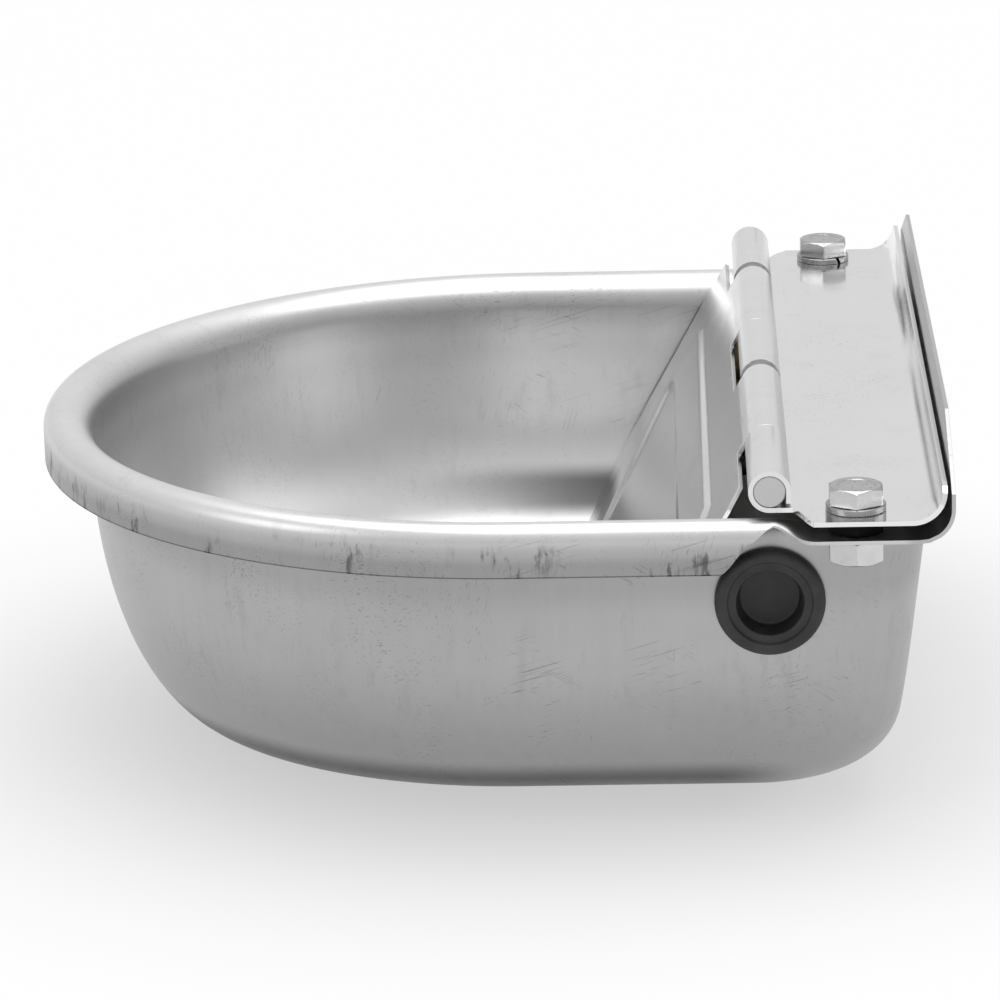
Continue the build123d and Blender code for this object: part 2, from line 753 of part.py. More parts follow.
def along_lever(shape, start):
    """Turn a shape that stands on z=0 to run out along the lever from start."""
    return at_lever(Pos(0, -start, 0) * Rot(90, 0, 0) * shape)


def float_arm():
    """Hub, heel that pushes the plunger, and the rod that carries the float."""
    width = lug_gap - 2 * lever_side_gap
    hub = Rot(0, 90, 0) * Cylinder(hub_radius, width)
    arm = Rot(90, 0, 0) * rod(arm_radius, arm_length)
    lever = at_lever(hub + arm)
    tip = Pos(hinge_x, heel_y, pivot_z + lever_drop * cos(heel_lean))
    nose = tip * Rot(0, 90, 0) * Cylinder(heel_radius, width)
    lean = degrees(heel_lean)
    web = Pos(hinge_x, pivot_y, pivot_z) * Rot(lean, 0, 0) * Pos(0, 0, lever_drop / 2) * Box(
        width, heel_web, lever_drop)
    lever = lever + nose + web
    hole = Rot(0, 90, 0) * Cylinder(lever_pin_radius + pin_clearance, through)
    return lever - Pos(hinge_x, pivot_y, pivot_z) * hole


def valve_float():
    body = rod(float_radius, float_length)
    body = fillet(body.edges().filter_by(GeomType.CIRCLE), float_end_round)
    body -= Cylinder(arm_radius + thread_clearance, 3 * float_length)
    return along_lever(body, float_start)


def float_nuts():
    nut = hexagon(float_nut_flats, float_nut_height, arm_radius + thread_clearance)
    inner = along_lever(nut, float_start - float_nut_height)
    outer = along_lever(nut, float_start + float_length)
    return Compound(children=[inner, outer])


def lever_pin():
    """Headed pin with a cross hole for its split pin."""
    half = lug_gap / 2 + lug_thickness
    shank_length = 2 * half + 4 * cotter_radius + lever_pin_end
    shank = Rot(0, 90, 0) * rod(lever_pin_radius, shank_length)
    head = Rot(0, 90, 0) * rod(lever_pin_head_radius, lever_pin_head)
    pin = Pos(-half, 0, 0) * shank + Pos(-half - lever_pin_head, 0, 0) * head
    pin -= Pos(half + 2 * cotter_radius, 0, 0) * Cylinder(cotter_radius, hole_cut)
    return Pos(hinge_x, pivot_y, pivot_z) * pin


def split_pin():
    """Straight legs through the cross hole and a round eye above it."""
    half = lug_gap / 2 + lug_thickness
    eye_height = lever_pin_radius + cotter_eye + cotter_radius
    legs_length = eye_height - cotter_eye + cotter_leg
    legs = Pos(0, 0, -cotter_leg) * rod(cotter_radius, legs_length)
    eye = Pos(0, 0, eye_height) * Rot(0, 90, 0) * Torus(cotter_eye, cotter_radius)
    return Pos(hinge_x + half + 2 * cotter_radius, pivot_y, pivot_z) * (legs + eye)


def lock_nut():
    nut = hexagon(lock_nut_flats, lock_nut_height, inlet_pitch_radius + thread_clearance)
    return Pos(hinge_x, wall_outside + washer_thickness, inlet_height) * Rot(-90, 0, 0) * nut


def inlet_washer():
    washer = ring(washer_radius, inlet_thread_radius + thread_clearance, washer_thickness)
    return Pos(hinge_x, wall_outside, inlet_height) * Rot(-90, 0, 0) * washer


def inlet_gasket():
    gasket = ring(gasket_radius, inlet_thread_radius + thread_clearance, gasket_thickness)
    return along_inlet(gasket, wall_inside)


def blanking_plug():
    """Rubber plug: domed flange outside, neck in the hole, lip inside and a deep cup."""
    out = wall_outside
    inside = wall_inside
    profile = make_face(Polyline(
        (0, out - plug_lip_thickness - bowl_sheet - plug_wall),
        (plug_lip_radius - plug_lip_taper, out - plug_lip_thickness - bowl_sheet - plug_wall),
        (plug_lip_radius, inside - plug_lip_edge),
        (plug_lip_radius, inside),
        (inlet_hole_radius, inside),
        (inlet_hole_radius, out),
        (plug_flange_radius, out),
        (plug_flange_radius, out + plug_flange_edge),
        (plug_flange_radius - plug_flange_round, out + plug_flange_thickness),
        (plug_step_radius, out + plug_flange_thickness),
        (plug_step_radius - plug_step_draft, out + plug_flange_thickness - plug_step_depth),
        (plug_cup_radius + plug_step_draft, out + plug_flange_thickness - plug_step_depth),
        (plug_cup_radius, out + plug_flange_thickness - 2 * plug_step_depth),
        (plug_cup_radius - plug_cup_draft, out - plug_lip_thickness - bowl_sheet),
        (0, out - plug_lip_thickness - bowl_sheet),
        close=True,
    ))
    solid = revolve(Plane.XY * profile, Axis.Y, 360)
    return Pos(hinge_x, 0, inlet_height) * mirror(solid, Plane.XZ)


def export(name, shape):
    export_step(shape, f"parts/{name}.step")


export("bowl_shell", bowl_shell())
export("rim_and_flange", rim_and_flange())
export("blanking_plug", blanking_plug())
export("cover_plate", cover_plate())
export("hinge_pin", hinge_pin())
export("baffle_plate", baffle_plate())
export("cover_bolts", both_sides(cover_bolt()))
export("spring_washers", both_sides(spring_washer()))
spacer = bolt_nut(cover_under - flange_height)
export("spacer_nuts", both_sides(Pos(bolt_x, bolt_half_spacing, flange_height) * spacer))
clamp = Pos(bolt_x, bolt_half_spacing, flange_under) * Rot(180, 0, 0) * bolt_nut(nut_height)
export("clamp_nuts", both_sides(clamp))
export("valve_body", valve_body())
export("valve_seat", valve_seat())
export("valve_plunger", plunger())
export("plunger_seal", plunger_seal())
export("inlet_gasket", inlet_gasket())
export("inlet_washer", inlet_washer())
export("inlet_lock_nut", lock_nut())
export("float_arm", float_arm())
export("valve_float", valve_float())
export("float_nuts", float_nuts())
export("lever_pivot_pin", lever_pin())
export("lever_split_pin", split_pin())
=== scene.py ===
import bmesh
import bpy
from math import asin, atan2, ceil, cos, degrees, pi, radians, sin, sqrt, tan
from mathutils import Matrix, Vector


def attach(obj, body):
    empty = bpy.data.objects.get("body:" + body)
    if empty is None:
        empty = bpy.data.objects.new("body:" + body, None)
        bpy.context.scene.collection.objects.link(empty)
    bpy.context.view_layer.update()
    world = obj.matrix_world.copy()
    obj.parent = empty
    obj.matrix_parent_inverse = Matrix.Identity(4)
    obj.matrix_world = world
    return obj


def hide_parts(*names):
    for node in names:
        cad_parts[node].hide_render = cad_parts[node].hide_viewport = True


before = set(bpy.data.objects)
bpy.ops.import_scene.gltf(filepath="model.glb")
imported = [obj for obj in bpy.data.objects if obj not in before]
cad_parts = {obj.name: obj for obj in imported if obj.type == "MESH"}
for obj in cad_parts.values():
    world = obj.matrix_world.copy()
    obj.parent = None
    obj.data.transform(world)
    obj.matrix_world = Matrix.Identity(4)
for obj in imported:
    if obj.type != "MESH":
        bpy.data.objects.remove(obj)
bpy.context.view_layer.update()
print("frame loaded")

# Lengths below are millimetres, in the frame's own axes; each piece is scaled to metres when it is made.
mm = 0.001
weldGap = 0.002
smoothAngle = radians(20)
upAxis = Vector((0, 0, 1))
acrossAxis = Vector((0, 1, 0))
hinge = {"x": 64.1, "z": 94.2, "pin": 4.0, "gap": 0.05}


# shader building

class Wire:  # a socket that can be used in sums
    def __init__(self, paint, socket):
        self.paint = paint
        self.socket = socket

    def maths(self, operation, first, second):
        return self.paint.node("ShaderNodeMath", {"operation": operation}, {0: first, 1: second})

    def __add__(self, other):
        return self.maths("ADD", self, other)

    def __radd__(self, other):
        return self.maths("ADD", other, self)

    def __sub__(self, other):
        return self.maths("SUBTRACT", self, other)

    def __rsub__(self, other):
        return self.maths("SUBTRACT", other, self)

    def __mul__(self, other):
        return self.maths("MULTIPLY", self, other)

    def __rmul__(self, other):
        return self.maths("MULTIPLY", other, self)

    def root(self):
        return self.maths("SQRT", self, 0.0)


class Nodes:  # a node tree and the one way nodes are added to it
    def __init__(self, tree):
        self.tree = tree

    def node(self, kind, settings, inputs, out=0):
        made = self.tree.nodes.new(kind)
        for key, value in settings.items():
            setattr(made, key, value)
        for key, value in inputs.items():
            if isinstance(value, Wire):
                self.tree.links.new(value.socket, made.inputs[key])
            else:
                made.inputs[key].default_value = value
        return Wire(self, made.outputs[out])


class Paint(Nodes):  # one material
    def __init__(self, name, **constants):
        self.material = bpy.data.materials.new(name)
        self.material.use_nodes = True
        super().__init__(self.material.node_tree)
        self.shader = self.tree.nodes["Principled BSDF"]
        for key, value in constants.items():
            self.shader.inputs[key.replace("_", " ")].default_value = value
        place = self.node("ShaderNodeTexCoord", {}, {}, "Object")
        self.place = self.node("ShaderNodeVectorMath", {"operation": "SCALE"}, {0: place, "Scale": 1 / mm})
        self.normal = self.node("ShaderNodeTexCoord", {}, {}, "Normal")

    def noise(self, size, detail=3.0, stretch=(1, 1, 1), shift=(0, 0, 0), rough=0.5):
        inputs = {"Vector": self.place, "Scale": stretch, "Location": shift}
        place = self.node("ShaderNodeMapping", {}, inputs)
        inputs = {"Vector": place, "Scale": 1 / size, "Detail": detail, "Roughness": rough}
        return self.node("ShaderNodeTexNoise", {}, inputs)

    def axis(self, name):
        return self.node("ShaderNodeSeparateXYZ", {}, {"Vector": self.place}, name)

    def step(self, value, low, high):  # 0 below low, 1 above high
        settings = {"interpolation_type": "SMOOTHSTEP"}
        return self.node("ShaderNodeMapRange", settings, {"Value": value, "From Min": low, "From Max": high})

    def blend(self, share, first, second):
        return self.node("ShaderNodeMix", {"data_type": "RGBA"}, {"Factor": share, 6: first, 7: second}, 2)

    def scratches(self, width, along, cut=0.72, seed=0.0, patch=24):  # thin broken lines along a direction
        turn = Vector(along).rotation_difference(acrossAxis).to_euler()
        place = self.node("ShaderNodeMapping", {}, {"Vector": self.place, "Rotation": turn})
        inputs = {"Vector": place, "Scale": (1, 0.01, 1), "Location": (seed, seed, seed)}
        place = self.node("ShaderNodeMapping", {}, inputs)
        line = self.node("ShaderNodeTexNoise", {}, {"Vector": place, "Scale": 1 / width, "Detail": 0.0})
        cover = self.noise(patch, 2.0, shift=(seed, 0, 0))
        return self.step(line, cut, cut + 0.04) * self.step(cover, 0.52, 0.6)

    def facing(self, axis="Z"):  # how far the surface faces along an axis
        return self.node("ShaderNodeSeparateXYZ", {}, {"Vector": self.normal}, axis)

    def band(self, value, low, high, soft):  # 1 between low and high
        return self.step(value, low - soft, low) * (1 - self.step(value, high, high + soft))

    def away(self, spot, operation, other, keep=(1, 1, 1)):  # vector from a spot, then measured
        vector = self.node("ShaderNodeVectorMath", {"operation": "SUBTRACT"}, {0: self.place, 1: spot})
        vector = self.node("ShaderNodeVectorMath", {"operation": "MULTIPLY"}, {0: vector, 1: keep})
        return self.node("ShaderNodeVectorMath", {"operation": operation}, {0: vector, 1: other}, "Value")

    def finish(self, color, roughness, relief, depth):
        bump = {"Height": relief, "Distance": depth * mm, "Strength": 1.0}
        normal = self.node("ShaderNodeBump", {}, bump)
        for name, wire in (("Base Color", color), ("Roughness", roughness), ("Normal", normal)):
            self.tree.links.new(wire.socket, self.shader.inputs[name])
        return self.material


def grey(level, warm=0.0):
    return (level * (1 + warm), level, level * (1 - warm), 1)


# mesh helpers

def arcPoints(centre, radius, start, turn, steps):
    points = []
    for step in range(steps + 1):
        angle = radians(start + turn * step / steps)
        points.append((centre[0] + radius * cos(angle), centre[1] + radius * sin(angle)))
    return points


def gridSheet(bm, columns, rows, place):  # a grid whose vertices are moved to place(column, row)
    made = bmesh.ops.create_grid(bm, x_segments=columns - 1, y_segments=rows - 1, size=1)["verts"]
    for vertex in made:
        column = round((vertex.co.x + 1) / 2 * (columns - 1))
        row = round((vertex.co.y + 1) / 2 * (rows - 1))
        vertex.co = place(column, row)
    return made


def shareOf(value, low, high):
    return min(1.0, max(0.0, (value - low) / (high - low)))


def eased(share):
    return share * share * (3 - 2 * share)


def weld(bm, verts=None):
    bmesh.ops.remove_doubles(bm, verts=verts or bm.verts, dist=weldGap)


def faceOut(bm):
    bmesh.ops.recalc_face_normals(bm, faces=bm.faces)


def vertsOf(parts):
    return [part for part in parts if isinstance(part, bmesh.types.BMVert)]


def edgesOf(parts):
    return [part for part in parts if isinstance(part, bmesh.types.BMEdge)]


def drawnOut(bm, edges):  # new vertices drawn out of edges, and the edges between them
    made = bmesh.ops.extrude_edge_only(bm, edges=edges)["geom"]
    verts = vertsOf(made)
    return verts, [edge for edge in edgesOf(made) if all(vertex in verts for vertex in edge.verts)]


def openEdges(bm, height):
    return [edge for edge in bm.edges if len(edge.link_faces) < 2
            and all(abs(vertex.co.z - height) < 0.001 for vertex in edge.verts)]


def fillHoles(bm, edges=None):
    edges = edges or [edge for edge in bm.edges if edge.is_boundary]
    bmesh.ops.holes_fill(bm, edges=edges, sides=0)


def movedTo(spot=(0, 0, 0), turn=0.0, axis="X"):  # a turn in degrees, then a shift
    return Matrix.Translation(spot) @ Matrix.Rotation(radians(turn), 4, axis)


def move(bm, matrix, verts=None):
    bmesh.ops.transform(bm, matrix=matrix, verts=verts or bm.verts)


def chain(bm, points, closed=False):  # edges through points
    verts = [bm.verts.new(point) for point in points]
    pairs = list(zip(verts, verts[1:]))
    if closed:
        pairs.append((verts[-1], verts[0]))
    return verts + [bm.edges.new(pair) for pair in pairs]


def spinRound(bm, profile, steps=64, closed=True):  # (radius, height) profile turned about Z
    geometry = chain(bm, [(radius, 0, height) for radius, height in profile], closed)
    bmesh.ops.spin(bm, geom=geometry, cent=(0, 0, 0), axis=upAxis, angle=2 * pi, steps=steps, use_merge=True)
    weld(bm)
    faceOut(bm)


def softenEdges(bm, width, angle=50):
    sharp = [edge for edge in bm.edges
             if len(edge.link_faces) == 2 and edge.calc_face_angle() > radians(angle)]
    bmesh.ops.bevel(bm, geom=sharp, offset=width, offset_type="OFFSET", segments=2,
                    profile=0.5, affect="EDGES", material=-1, clamp_overlap=True)


def facesAt(bm, wanted):  # faces picked by where their middle is
    return [face for face in bm.faces if wanted(face.calc_center_median())]


def thickenSheet(bm, thickness, towards, wanted):
    # the sheet's modelled face is turned to face towards, and its thickness goes behind it
    faceOut(bm)
    sample = max(facesAt(bm, wanted), key=lambda face: face.calc_area())
    if sample.normal.dot(towards) < 0:
        bmesh.ops.reverse_faces(bm, faces=bm.faces)
    bmesh.ops.solidify(bm, geom=bm.faces, thickness=thickness)


def linked(name, data):
    made = bpy.data.objects.new(name, data)
    bpy.context.scene.collection.objects.link(made)
    return made


def meshFrom(name, bm):
    mesh = bpy.data.meshes.new(name)
    bm.to_mesh(mesh)
    bm.free()
    return mesh


def makePiece(name, bm, body, nodes, material, place=None):
    if place is not None:
        move(bm, place)
    bmesh.ops.scale(bm, vec=(mm, mm, mm), verts=bm.verts)
    mesh = meshFrom(name, bm)
    mesh.polygons.foreach_set("use_smooth", [True] * len(mesh.polygons))
    mesh.set_sharp_from_angle(angle=smoothAngle)
    mesh.materials.append(material)
    piece = linked(name, mesh)
    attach(piece, body)
    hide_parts(*nodes)
    return piece


def cutHoles(piece, cutters):  # round holes given as (centre, axis, radius, length)
    bm = bmesh.new()
    for centre, axis, radius, length in cutters:
        turn = upAxis.rotation_difference(Vector(axis)).to_matrix().to_4x4()
        matrix = Matrix.Translation(Vector(centre) * mm) @ turn
        bmesh.ops.create_cone(bm, cap_ends=True, segments=48, radius1=radius * mm, radius2=radius * mm,
                              depth=length * mm, matrix=matrix)
    cutter = linked("holeCutter", meshFrom("holeCutter", bm))
    modifier = piece.modifiers.new("holes", "BOOLEAN")
    modifier.operation = "DIFFERENCE"
    modifier.solver = "EXACT"
    modifier.object = cutter
    bpy.context.view_layer.update()
    result = bpy.data.meshes.new_from_object(piece.evaluated_get(bpy.context.evaluated_depsgraph_get()))
    piece.modifiers.clear()
    piece.data = result
    bpy.data.objects.remove(cutter)
    result.set_sharp_from_angle(angle=smoothAngle)


# steel and rubber finishes

def satinSteel():  # the drawn bowl
    paint = Paint("satinSteel", Metallic=1.0)
    height = paint.axis("Z")
    facing = paint.facing()
    back = paint.axis("X")
    ahead = paint.node("ShaderNodeMath", {"operation": "MINIMUM"}, {0: back, 1: 0.0})
    side = paint.axis("Y")
    reach = (ahead * ahead + side * side).root()
    outer = paint.step(reach, 118.5, 120.5)
    # painted reflection: faces turned towards a spot above the bowl's middle (the water side) are painted
    # lighter
    away = paint.away((20, 0, 80), "DOT_PRODUCT", paint.normal)
    inside = (1 - paint.step(away, -8, -3)) * (1 - paint.step(height, 70, 82))
    cloud = paint.noise(46, 3, stretch=(1, 1, 1.6))
    streak = paint.noise(2.4, 4, stretch=(1, 1, 0.07), rough=0.6)
    fine = paint.noise(0.5, 2, stretch=(0.04, 0.04, 1))
    marks = paint.scratches(0.3, (1, 0, 0.3)) + paint.scratches(0.26, (1, 0.1, -0.6), 0.74, 31.0)
    marks = marks + paint.scratches(0.3, (0.3, 0.1, 1), 0.73, 77.0, 18)
    # painted highlight: the rim crest and flange above 80 mm are painted lighter, less so on the upstand's
    # edge
    crest = paint.step(height, 80, 86.5) * (1 - paint.step(back, 96, 99) * 0.75)
    skirt = paint.band(height, 74.0, 80, 3) * outer
    hem = paint.band(height, 74.0, 77, 3.5) * outer
    # painted shade: a thin dark line along the skirt's lower edge, standing in for the shadow gap under it
    edge = paint.band(height, 73.9, 74.35, 0.2) * outer
    # painted shade: the wall at the height just under the skirt is painted a little darker
    under = paint.band(height, 68, 73, 9) * (1 - outer)
    rub = paint.step(paint.noise(4.2, 4, stretch=(1, 1, 0.3), rough=0.7), 0.51, 0.66)
    patch = paint.step(paint.noise(24, 2, shift=(9, 4, 0)), 0.42, 0.58)
    # real scuffs on the skirt, plus the painted shade line at its lower edge, blended in as near-black colour
    dirtAndEdgeShade = rub * patch * (skirt * 0.62 + 0.07) + edge * 0.6
    # painted shade: the lower outside, where it faces down, is painted much darker, standing in for the dark
    # floor under the bowl seen in it
    low = (1 - paint.step(height, 9, 18)) * (1 - paint.step(facing, -0.5, -0.2))
    low = low * (1 - paint.step(back, 50, 76))
    # painted reflection: the flat inside floor is painted lighter again
    floor = inside * (1 - paint.step(height, 16, 23))
    # painted reflection: a soft dark streak on the inside wall, standing in for a reflected dark gap
    darkReflectionStreak = inside * paint.band(height, 23, 28, 6)
    darkReflectionStreak = darkReflectionStreak * paint.step(back, -50, 30) * paint.step(side, 0, 40)
    tone = 0.35 + cloud * 0.10 + streak * 0.05 + crest * 0.34 + inside * 0.24 + floor * 0.13
    tone = tone - under * 0.05 - hem * 0.10 - marks * 0.10
    tone = tone * (1 - low * 0.85) * (1 - darkReflectionStreak * 0.8)
    color = paint.blend(dirtAndEdgeShade, paint.blend(tone, grey(0.0), grey(1.0)), grey(0.06))
    rough = 0.27 + streak * 0.08 + cloud * 0.08 + dirtAndEdgeShade * 0.25 + marks * 0.15
    return paint.finish(color, rough, streak * 0.4 + fine * 0.3 - marks * 0.5, 0.012)


def brightSteel(name, tone, rough, rollRough, size=60):  # smooth bright sheet, duller where it is curled
    paint = Paint(name, Metallic=1.0)
    cloud = paint.noise(size, 3)
    smear = paint.step(paint.noise(13, 4, rough=0.6), 0.5, 0.75)
    grain = paint.noise(0.9, 3, stretch=(1.0, 0.04, 1.0))
    marks = paint.scratches(0.24, (0.6, 1, 0.2)) + paint.scratches(0.2, (1, -0.4, 0.1), 0.74, 15.0)
    away = paint.away((hinge["x"], 0, hinge["z"]), "LENGTH", (0, 0, 0), (1, 0, 1))
    roll = 1 - paint.step(away, 5.4, 6.4)
    level = tone + cloud * 0.06 - marks * 0.2 - smear * 0.03 + roll * (0.74 - tone)
    color = paint.blend(level, grey(0.0), grey(1.0))
    dull = rough + cloud * 0.05 + grain * 0.04 + marks * 0.15 + smear * 0.05 + roll * (rollRough - rough)
    return paint.finish(color, dull, grain * 0.4 - marks * 0.5, 0.006)


def turnedSteel(name, tone, rough, relief=0.02, wear=1.0, side=0.0):  # cut and plated small parts
    paint = Paint(name, Metallic=1.0)
    grain = paint.noise(0.5, 4, rough=0.6)
    cloud = paint.noise(6, 3)
    pits = paint.step(paint.noise(1.1, 4, rough=0.65), 0.56, 0.66)
    up = paint.facing()
    wall = 1 - paint.step(up * up, 0.1, 0.3)
    pits = pits * wear * (1 - wall * 0.8)
    # painted light: where side is set, upright faces are painted lighter, more so on faces turned towards +X
    # and less towards -X
    level = tone + cloud * (0.14 * wear) - pits * 0.2 + wall * side * (paint.facing("X") * 0.5 + 1)
    color = paint.blend(level, grey(0.0), grey(1.0))
    return paint.finish(color, rough + grain * 0.12 + pits * 0.15, grain * 0.6 - pits * 0.5, relief)


def blackRubber(name, tone):
    paint = Paint(name)
    bloom = paint.noise(7, 4, rough=0.6)
    grain = paint.noise(0.5, 3)
    color = paint.blend(paint.step(bloom, 0.35, 0.75), grey(tone), grey(tone * 2.4))
    return paint.finish(color, 0.42 + bloom * 0.2, grain * 0.5 + bloom * 0.5, 0.03)


def castBrass(name, color, dull):
    paint = Paint(name, Metallic=1.0)
    cloud = paint.noise(9, 4, rough=0.6)
    grain = paint.noise(0.6, 3)
    shade = paint.blend(paint.step(cloud, 0.35, 0.7), color, dull)
    return paint.finish(shade, 0.26 + cloud * 0.2, grain * 0.6, 0.02)


def mouldedPlastic(name, color, dull, rough=0.4):
    paint = Paint(name)
    cloud = paint.noise(14, 3)
    grain = paint.noise(0.8, 3)
    shade = paint.blend(paint.step(cloud, 0.3, 0.75), color, dull)
    return paint.finish(shade, rough + cloud * 0.12, grain * 0.4, 0.015)


bowlSteel = satinSteel()
coverSteel = brightSteel("coverSteel", 0.78, 0.09, 0.26)
baffleSteel = brightSteel("baffleSteel", 0.66, 0.13, 0.26)
pinSteel = turnedSteel("pinSteel", 0.50, 0.22, wear=0.3)
# the bolt heads' side faces are painted lighter than their tops as painted light
boltSteel = turnedSteel("boltSteel", 0.38, 0.14, relief=0.05, side=0.15)
# painted shade: the spacer nuts are coloured near black, standing in for the shade in the gap between cover
# and flange
spacerPaintedShade = turnedSteel("spacerPaintedShade", 0.012, 0.5, wear=0.0)
washerSteel = turnedSteel("washerSteel", 0.34, 0.22, wear=0.4)
armSteel = turnedSteel("armSteel", 0.58, 0.22)
plugRubber = blackRubber("blackRubber", 0.018)
sealRubber = blackRubber("sealRubber", 0.02)
valveBrass = castBrass("valveBrass", (0.72, 0.52, 0.24, 1), (0.50, 0.34, 0.15, 1))
nutBrass = castBrass("nutBrass", (0.76, 0.56, 0.27, 1), (0.58, 0.40, 0.18, 1))
seatNylon = mouldedPlastic("seatNylon", (0.78, 0.77, 0.72, 1), (0.70, 0.69, 0.63, 1))
plungerPlastic = mouldedPlastic("plungerPlastic", (0.62, 0.63, 0.62, 1), (0.52, 0.53, 0.52, 1))
floatPlastic = mouldedPlastic("floatPlastic", (0.80, 0.80, 0.76, 1), (0.72, 0.71, 0.66, 1), 0.35)
print("finishes made")


# bowl: drawn wall, rolled rim, flange and upstand

bowl = {
    "sheet": 1.0,
    "rimReach": 127.0,
    "crest": 87.0,
    "outerRoll": 4.5,
    "innerRoll": 8.6,
    "rollLand": 1.0,
    "skirtDrop": 12.9,
    "frontRound": (36.0, 74.0),
    "sideRound": (53.0, 50.0),
    "backRound": 28.0,
    "backReach": 103.6,
    "backSlope": 7.0,
    "corner": 20.0,
    "flange": 84.0,
    "flangeBend": 1.6,
    "flangeHalf": 132.0,
    "flangeStart": 76.0,
    "skirtEnd": 51.5,
    "skirtGone": 60.0,
    "rollEnd": 65.0,
    "edgeDroop": 35.0,
    "upstandReach": 109.0,
    "upstandTop": 108.0,
    "upstandBend": 7.5,
    "upstandFlat": 100.0,
    "upstandEnd": 95.5,
    "wallHole": 4.5,
    "wallHoleHeight": 71.0,
    "wallHoleHalf": 60.0,
    "sideHole": 10.7,
    "edge": 0.14,
}
bowl["wallIn"] = bowl["rimReach"] - bowl["outerRoll"] - bowl["innerRoll"]
bowl["wallTop"] = bowl["crest"] - bowl["innerRoll"] - bowl["rollLand"]
straightEnd = bowl["backReach"] - bowl["corner"]
bendStart = bowl["upstandReach"] - bowl["sheet"] - bowl["upstandBend"]
footX = bendStart + 4.4  # line part way up the upstand's bend where its mesh begins
cornerY = bowl["wallIn"] - bowl["corner"] + bowl["sheet"]
cornerTurn = degrees(atan2(bowl["flangeHalf"] - cornerY, footX - straightEnd))
inlet = {"x": hinge["x"], "z": 63.7}


def recess(reach, height, level):  # how far a quarter ellipse stands in at a level
    if level >= height:
        return 0.0
    rise = (height - level) / height
    return reach * (1 - sqrt(max(0.0, 1 - rise * rise)))


def wallPlan(level):  # front reach, side reach, back reach and corner radius of the water side
    sheet = bowl["sheet"]
    above = level - sheet
    frontReach, frontHeight = bowl["frontRound"]
    sideReach, sideHeight = bowl["sideRound"]
    front = bowl["wallIn"] - recess(frontReach - sheet, frontHeight - sheet, above)
    side = bowl["wallIn"] - recess(sideReach - sheet, sideHeight - sheet, above)
    lean = tan(radians(bowl["backSlope"])) * max(0.0, bowl["wallTop"] - level)
    backRound = bowl["backRound"] - sheet
    back = bowl["backReach"] - sheet - lean - recess(backRound, backRound, above)
    return front, side, back, bowl["corner"] - sheet


def planStations():  # places round half of the bowl, from the front to the middle of the back
    stations = [("arc", 90.0 * step / 46) for step in range(47)]
    spots = [*range(6, 43, 6), 47, 50, *(step + 0.5 for step in range(51, 59)), 59.3]
    spots += [*range(60, 77), 78, 80.5]
    stations += [("side", spot / straightEnd) for spot in spots + [straightEnd]]
    corners = [84, 78, 72, 66, 63, cornerTurn, 58, 54, 48, 42, 36, 30, 24, 18, 13.64, 9, 4.5, 0]
    stations += [("corner", float(angle)) for angle in corners]
    stations += [("back", share / 12) for share in range(11, -1, -1)]
    return stations


def planPoint(station, level, out=0.0):  # the wall at a level, moved outwards by out
    kind, value = station
    front, side, back, corner = wallPlan(level)
    if kind == "arc":
        return -(front + out) * cos(radians(value)), (side + out) * sin(radians(value))
    if kind == "side":
        return value * (back - corner), side + out
    if kind == "corner":
        reach = corner + out
        return back - corner + reach * cos(radians(value)), side - corner + reach * sin(radians(value))
    return back + out, value * (side - corner)


def sheetTop(x):  # top face of the flange, which bends up into the upstand
    run = min(max(0.0, x - bendStart), bowl["upstandBend"])
    return bowl["flange"] + bowl["upstandBend"] - sqrt(bowl["upstandBend"] ** 2 - run * run)


def skirtFoot(x):  # lower edge of the skirt, which sweeps up at its end
    low = bowl["crest"] - bowl["skirtDrop"]
    high = bowl["crest"] - bowl["outerRoll"]
    share = shareOf(x, bowl["skirtEnd"], bowl["skirtGone"])
    return low + (high - low) * (0.25 * share + 0.75 * eased(share))


def rimPath(station, bends=9, tails=11, drops=4):
    # (out, height) pairs from the top of the wall over the crest to the edge of the sheet
    kind, value = station
    x = value * straightEnd if kind == "side" else 0.0
    share = shareOf(x, bowl["rollEnd"], bowl["flangeStart"])
    soft = eased(share)
    bend = bowl["innerRoll"] + (bowl["flangeBend"] - bowl["innerRoll"]) * soft
    top = bowl["crest"] + (bowl["flange"] - bowl["crest"]) * soft
    path = [(bend + dx, top - bend + dy) for dx, dy in arcPoints((0, 0), bend, 180, -90, bends)]
    if share < 1:
        fall = shareOf(x, bowl["skirtGone"], bowl["rollEnd"])
        curl = radians(90 + (bowl["edgeDroop"] - 90) * fall) * (1 - soft)
        droop = curl + 0.001 * soft
        flat = bowl["flangeHalf"] - bowl["wallIn"] - bowl["flangeBend"]
        length = bowl["outerRoll"] * curl + flat * soft
        turn = length / droop
        for step in range(1, tails + 1):
            angle = droop * step / tails
            path.append((bend + turn * sin(angle), top - turn + turn * cos(angle)))
        reach, height = path[-1]
        for step in range(1, drops + 1):
            fall = (skirtFoot(x) - height) * step / drops if x < bowl["skirtGone"] else 0.0
            path.append((reach, height + fall))
    return path


def bowlSurface(stations, walls=26, bends=9, tails=11, drops=4):
    # one column of points for each station, from the floor up the wall and out over the rim
    columns = []
    for station in stations:
        column = []
        for row in range(walls + 1):
            level = bowl["sheet"] + (bowl["wallTop"] - bowl["sheet"]) * (row / walls) ** 2
            column.append((*planPoint(station, level), level))
        kind, value = station
        onRoll = kind == "arc" or kind == "side" and value * straightEnd < bowl["flangeStart"] - 0.01
        if onRoll:
            for out, height in rimPath(station, bends, tails, drops):
                column.append((*planPoint(station, bowl["wallTop"], out), height))
        else:
            column += flangeColumn(station, bends, tails + drops)
        columns.append(column)
    return columns


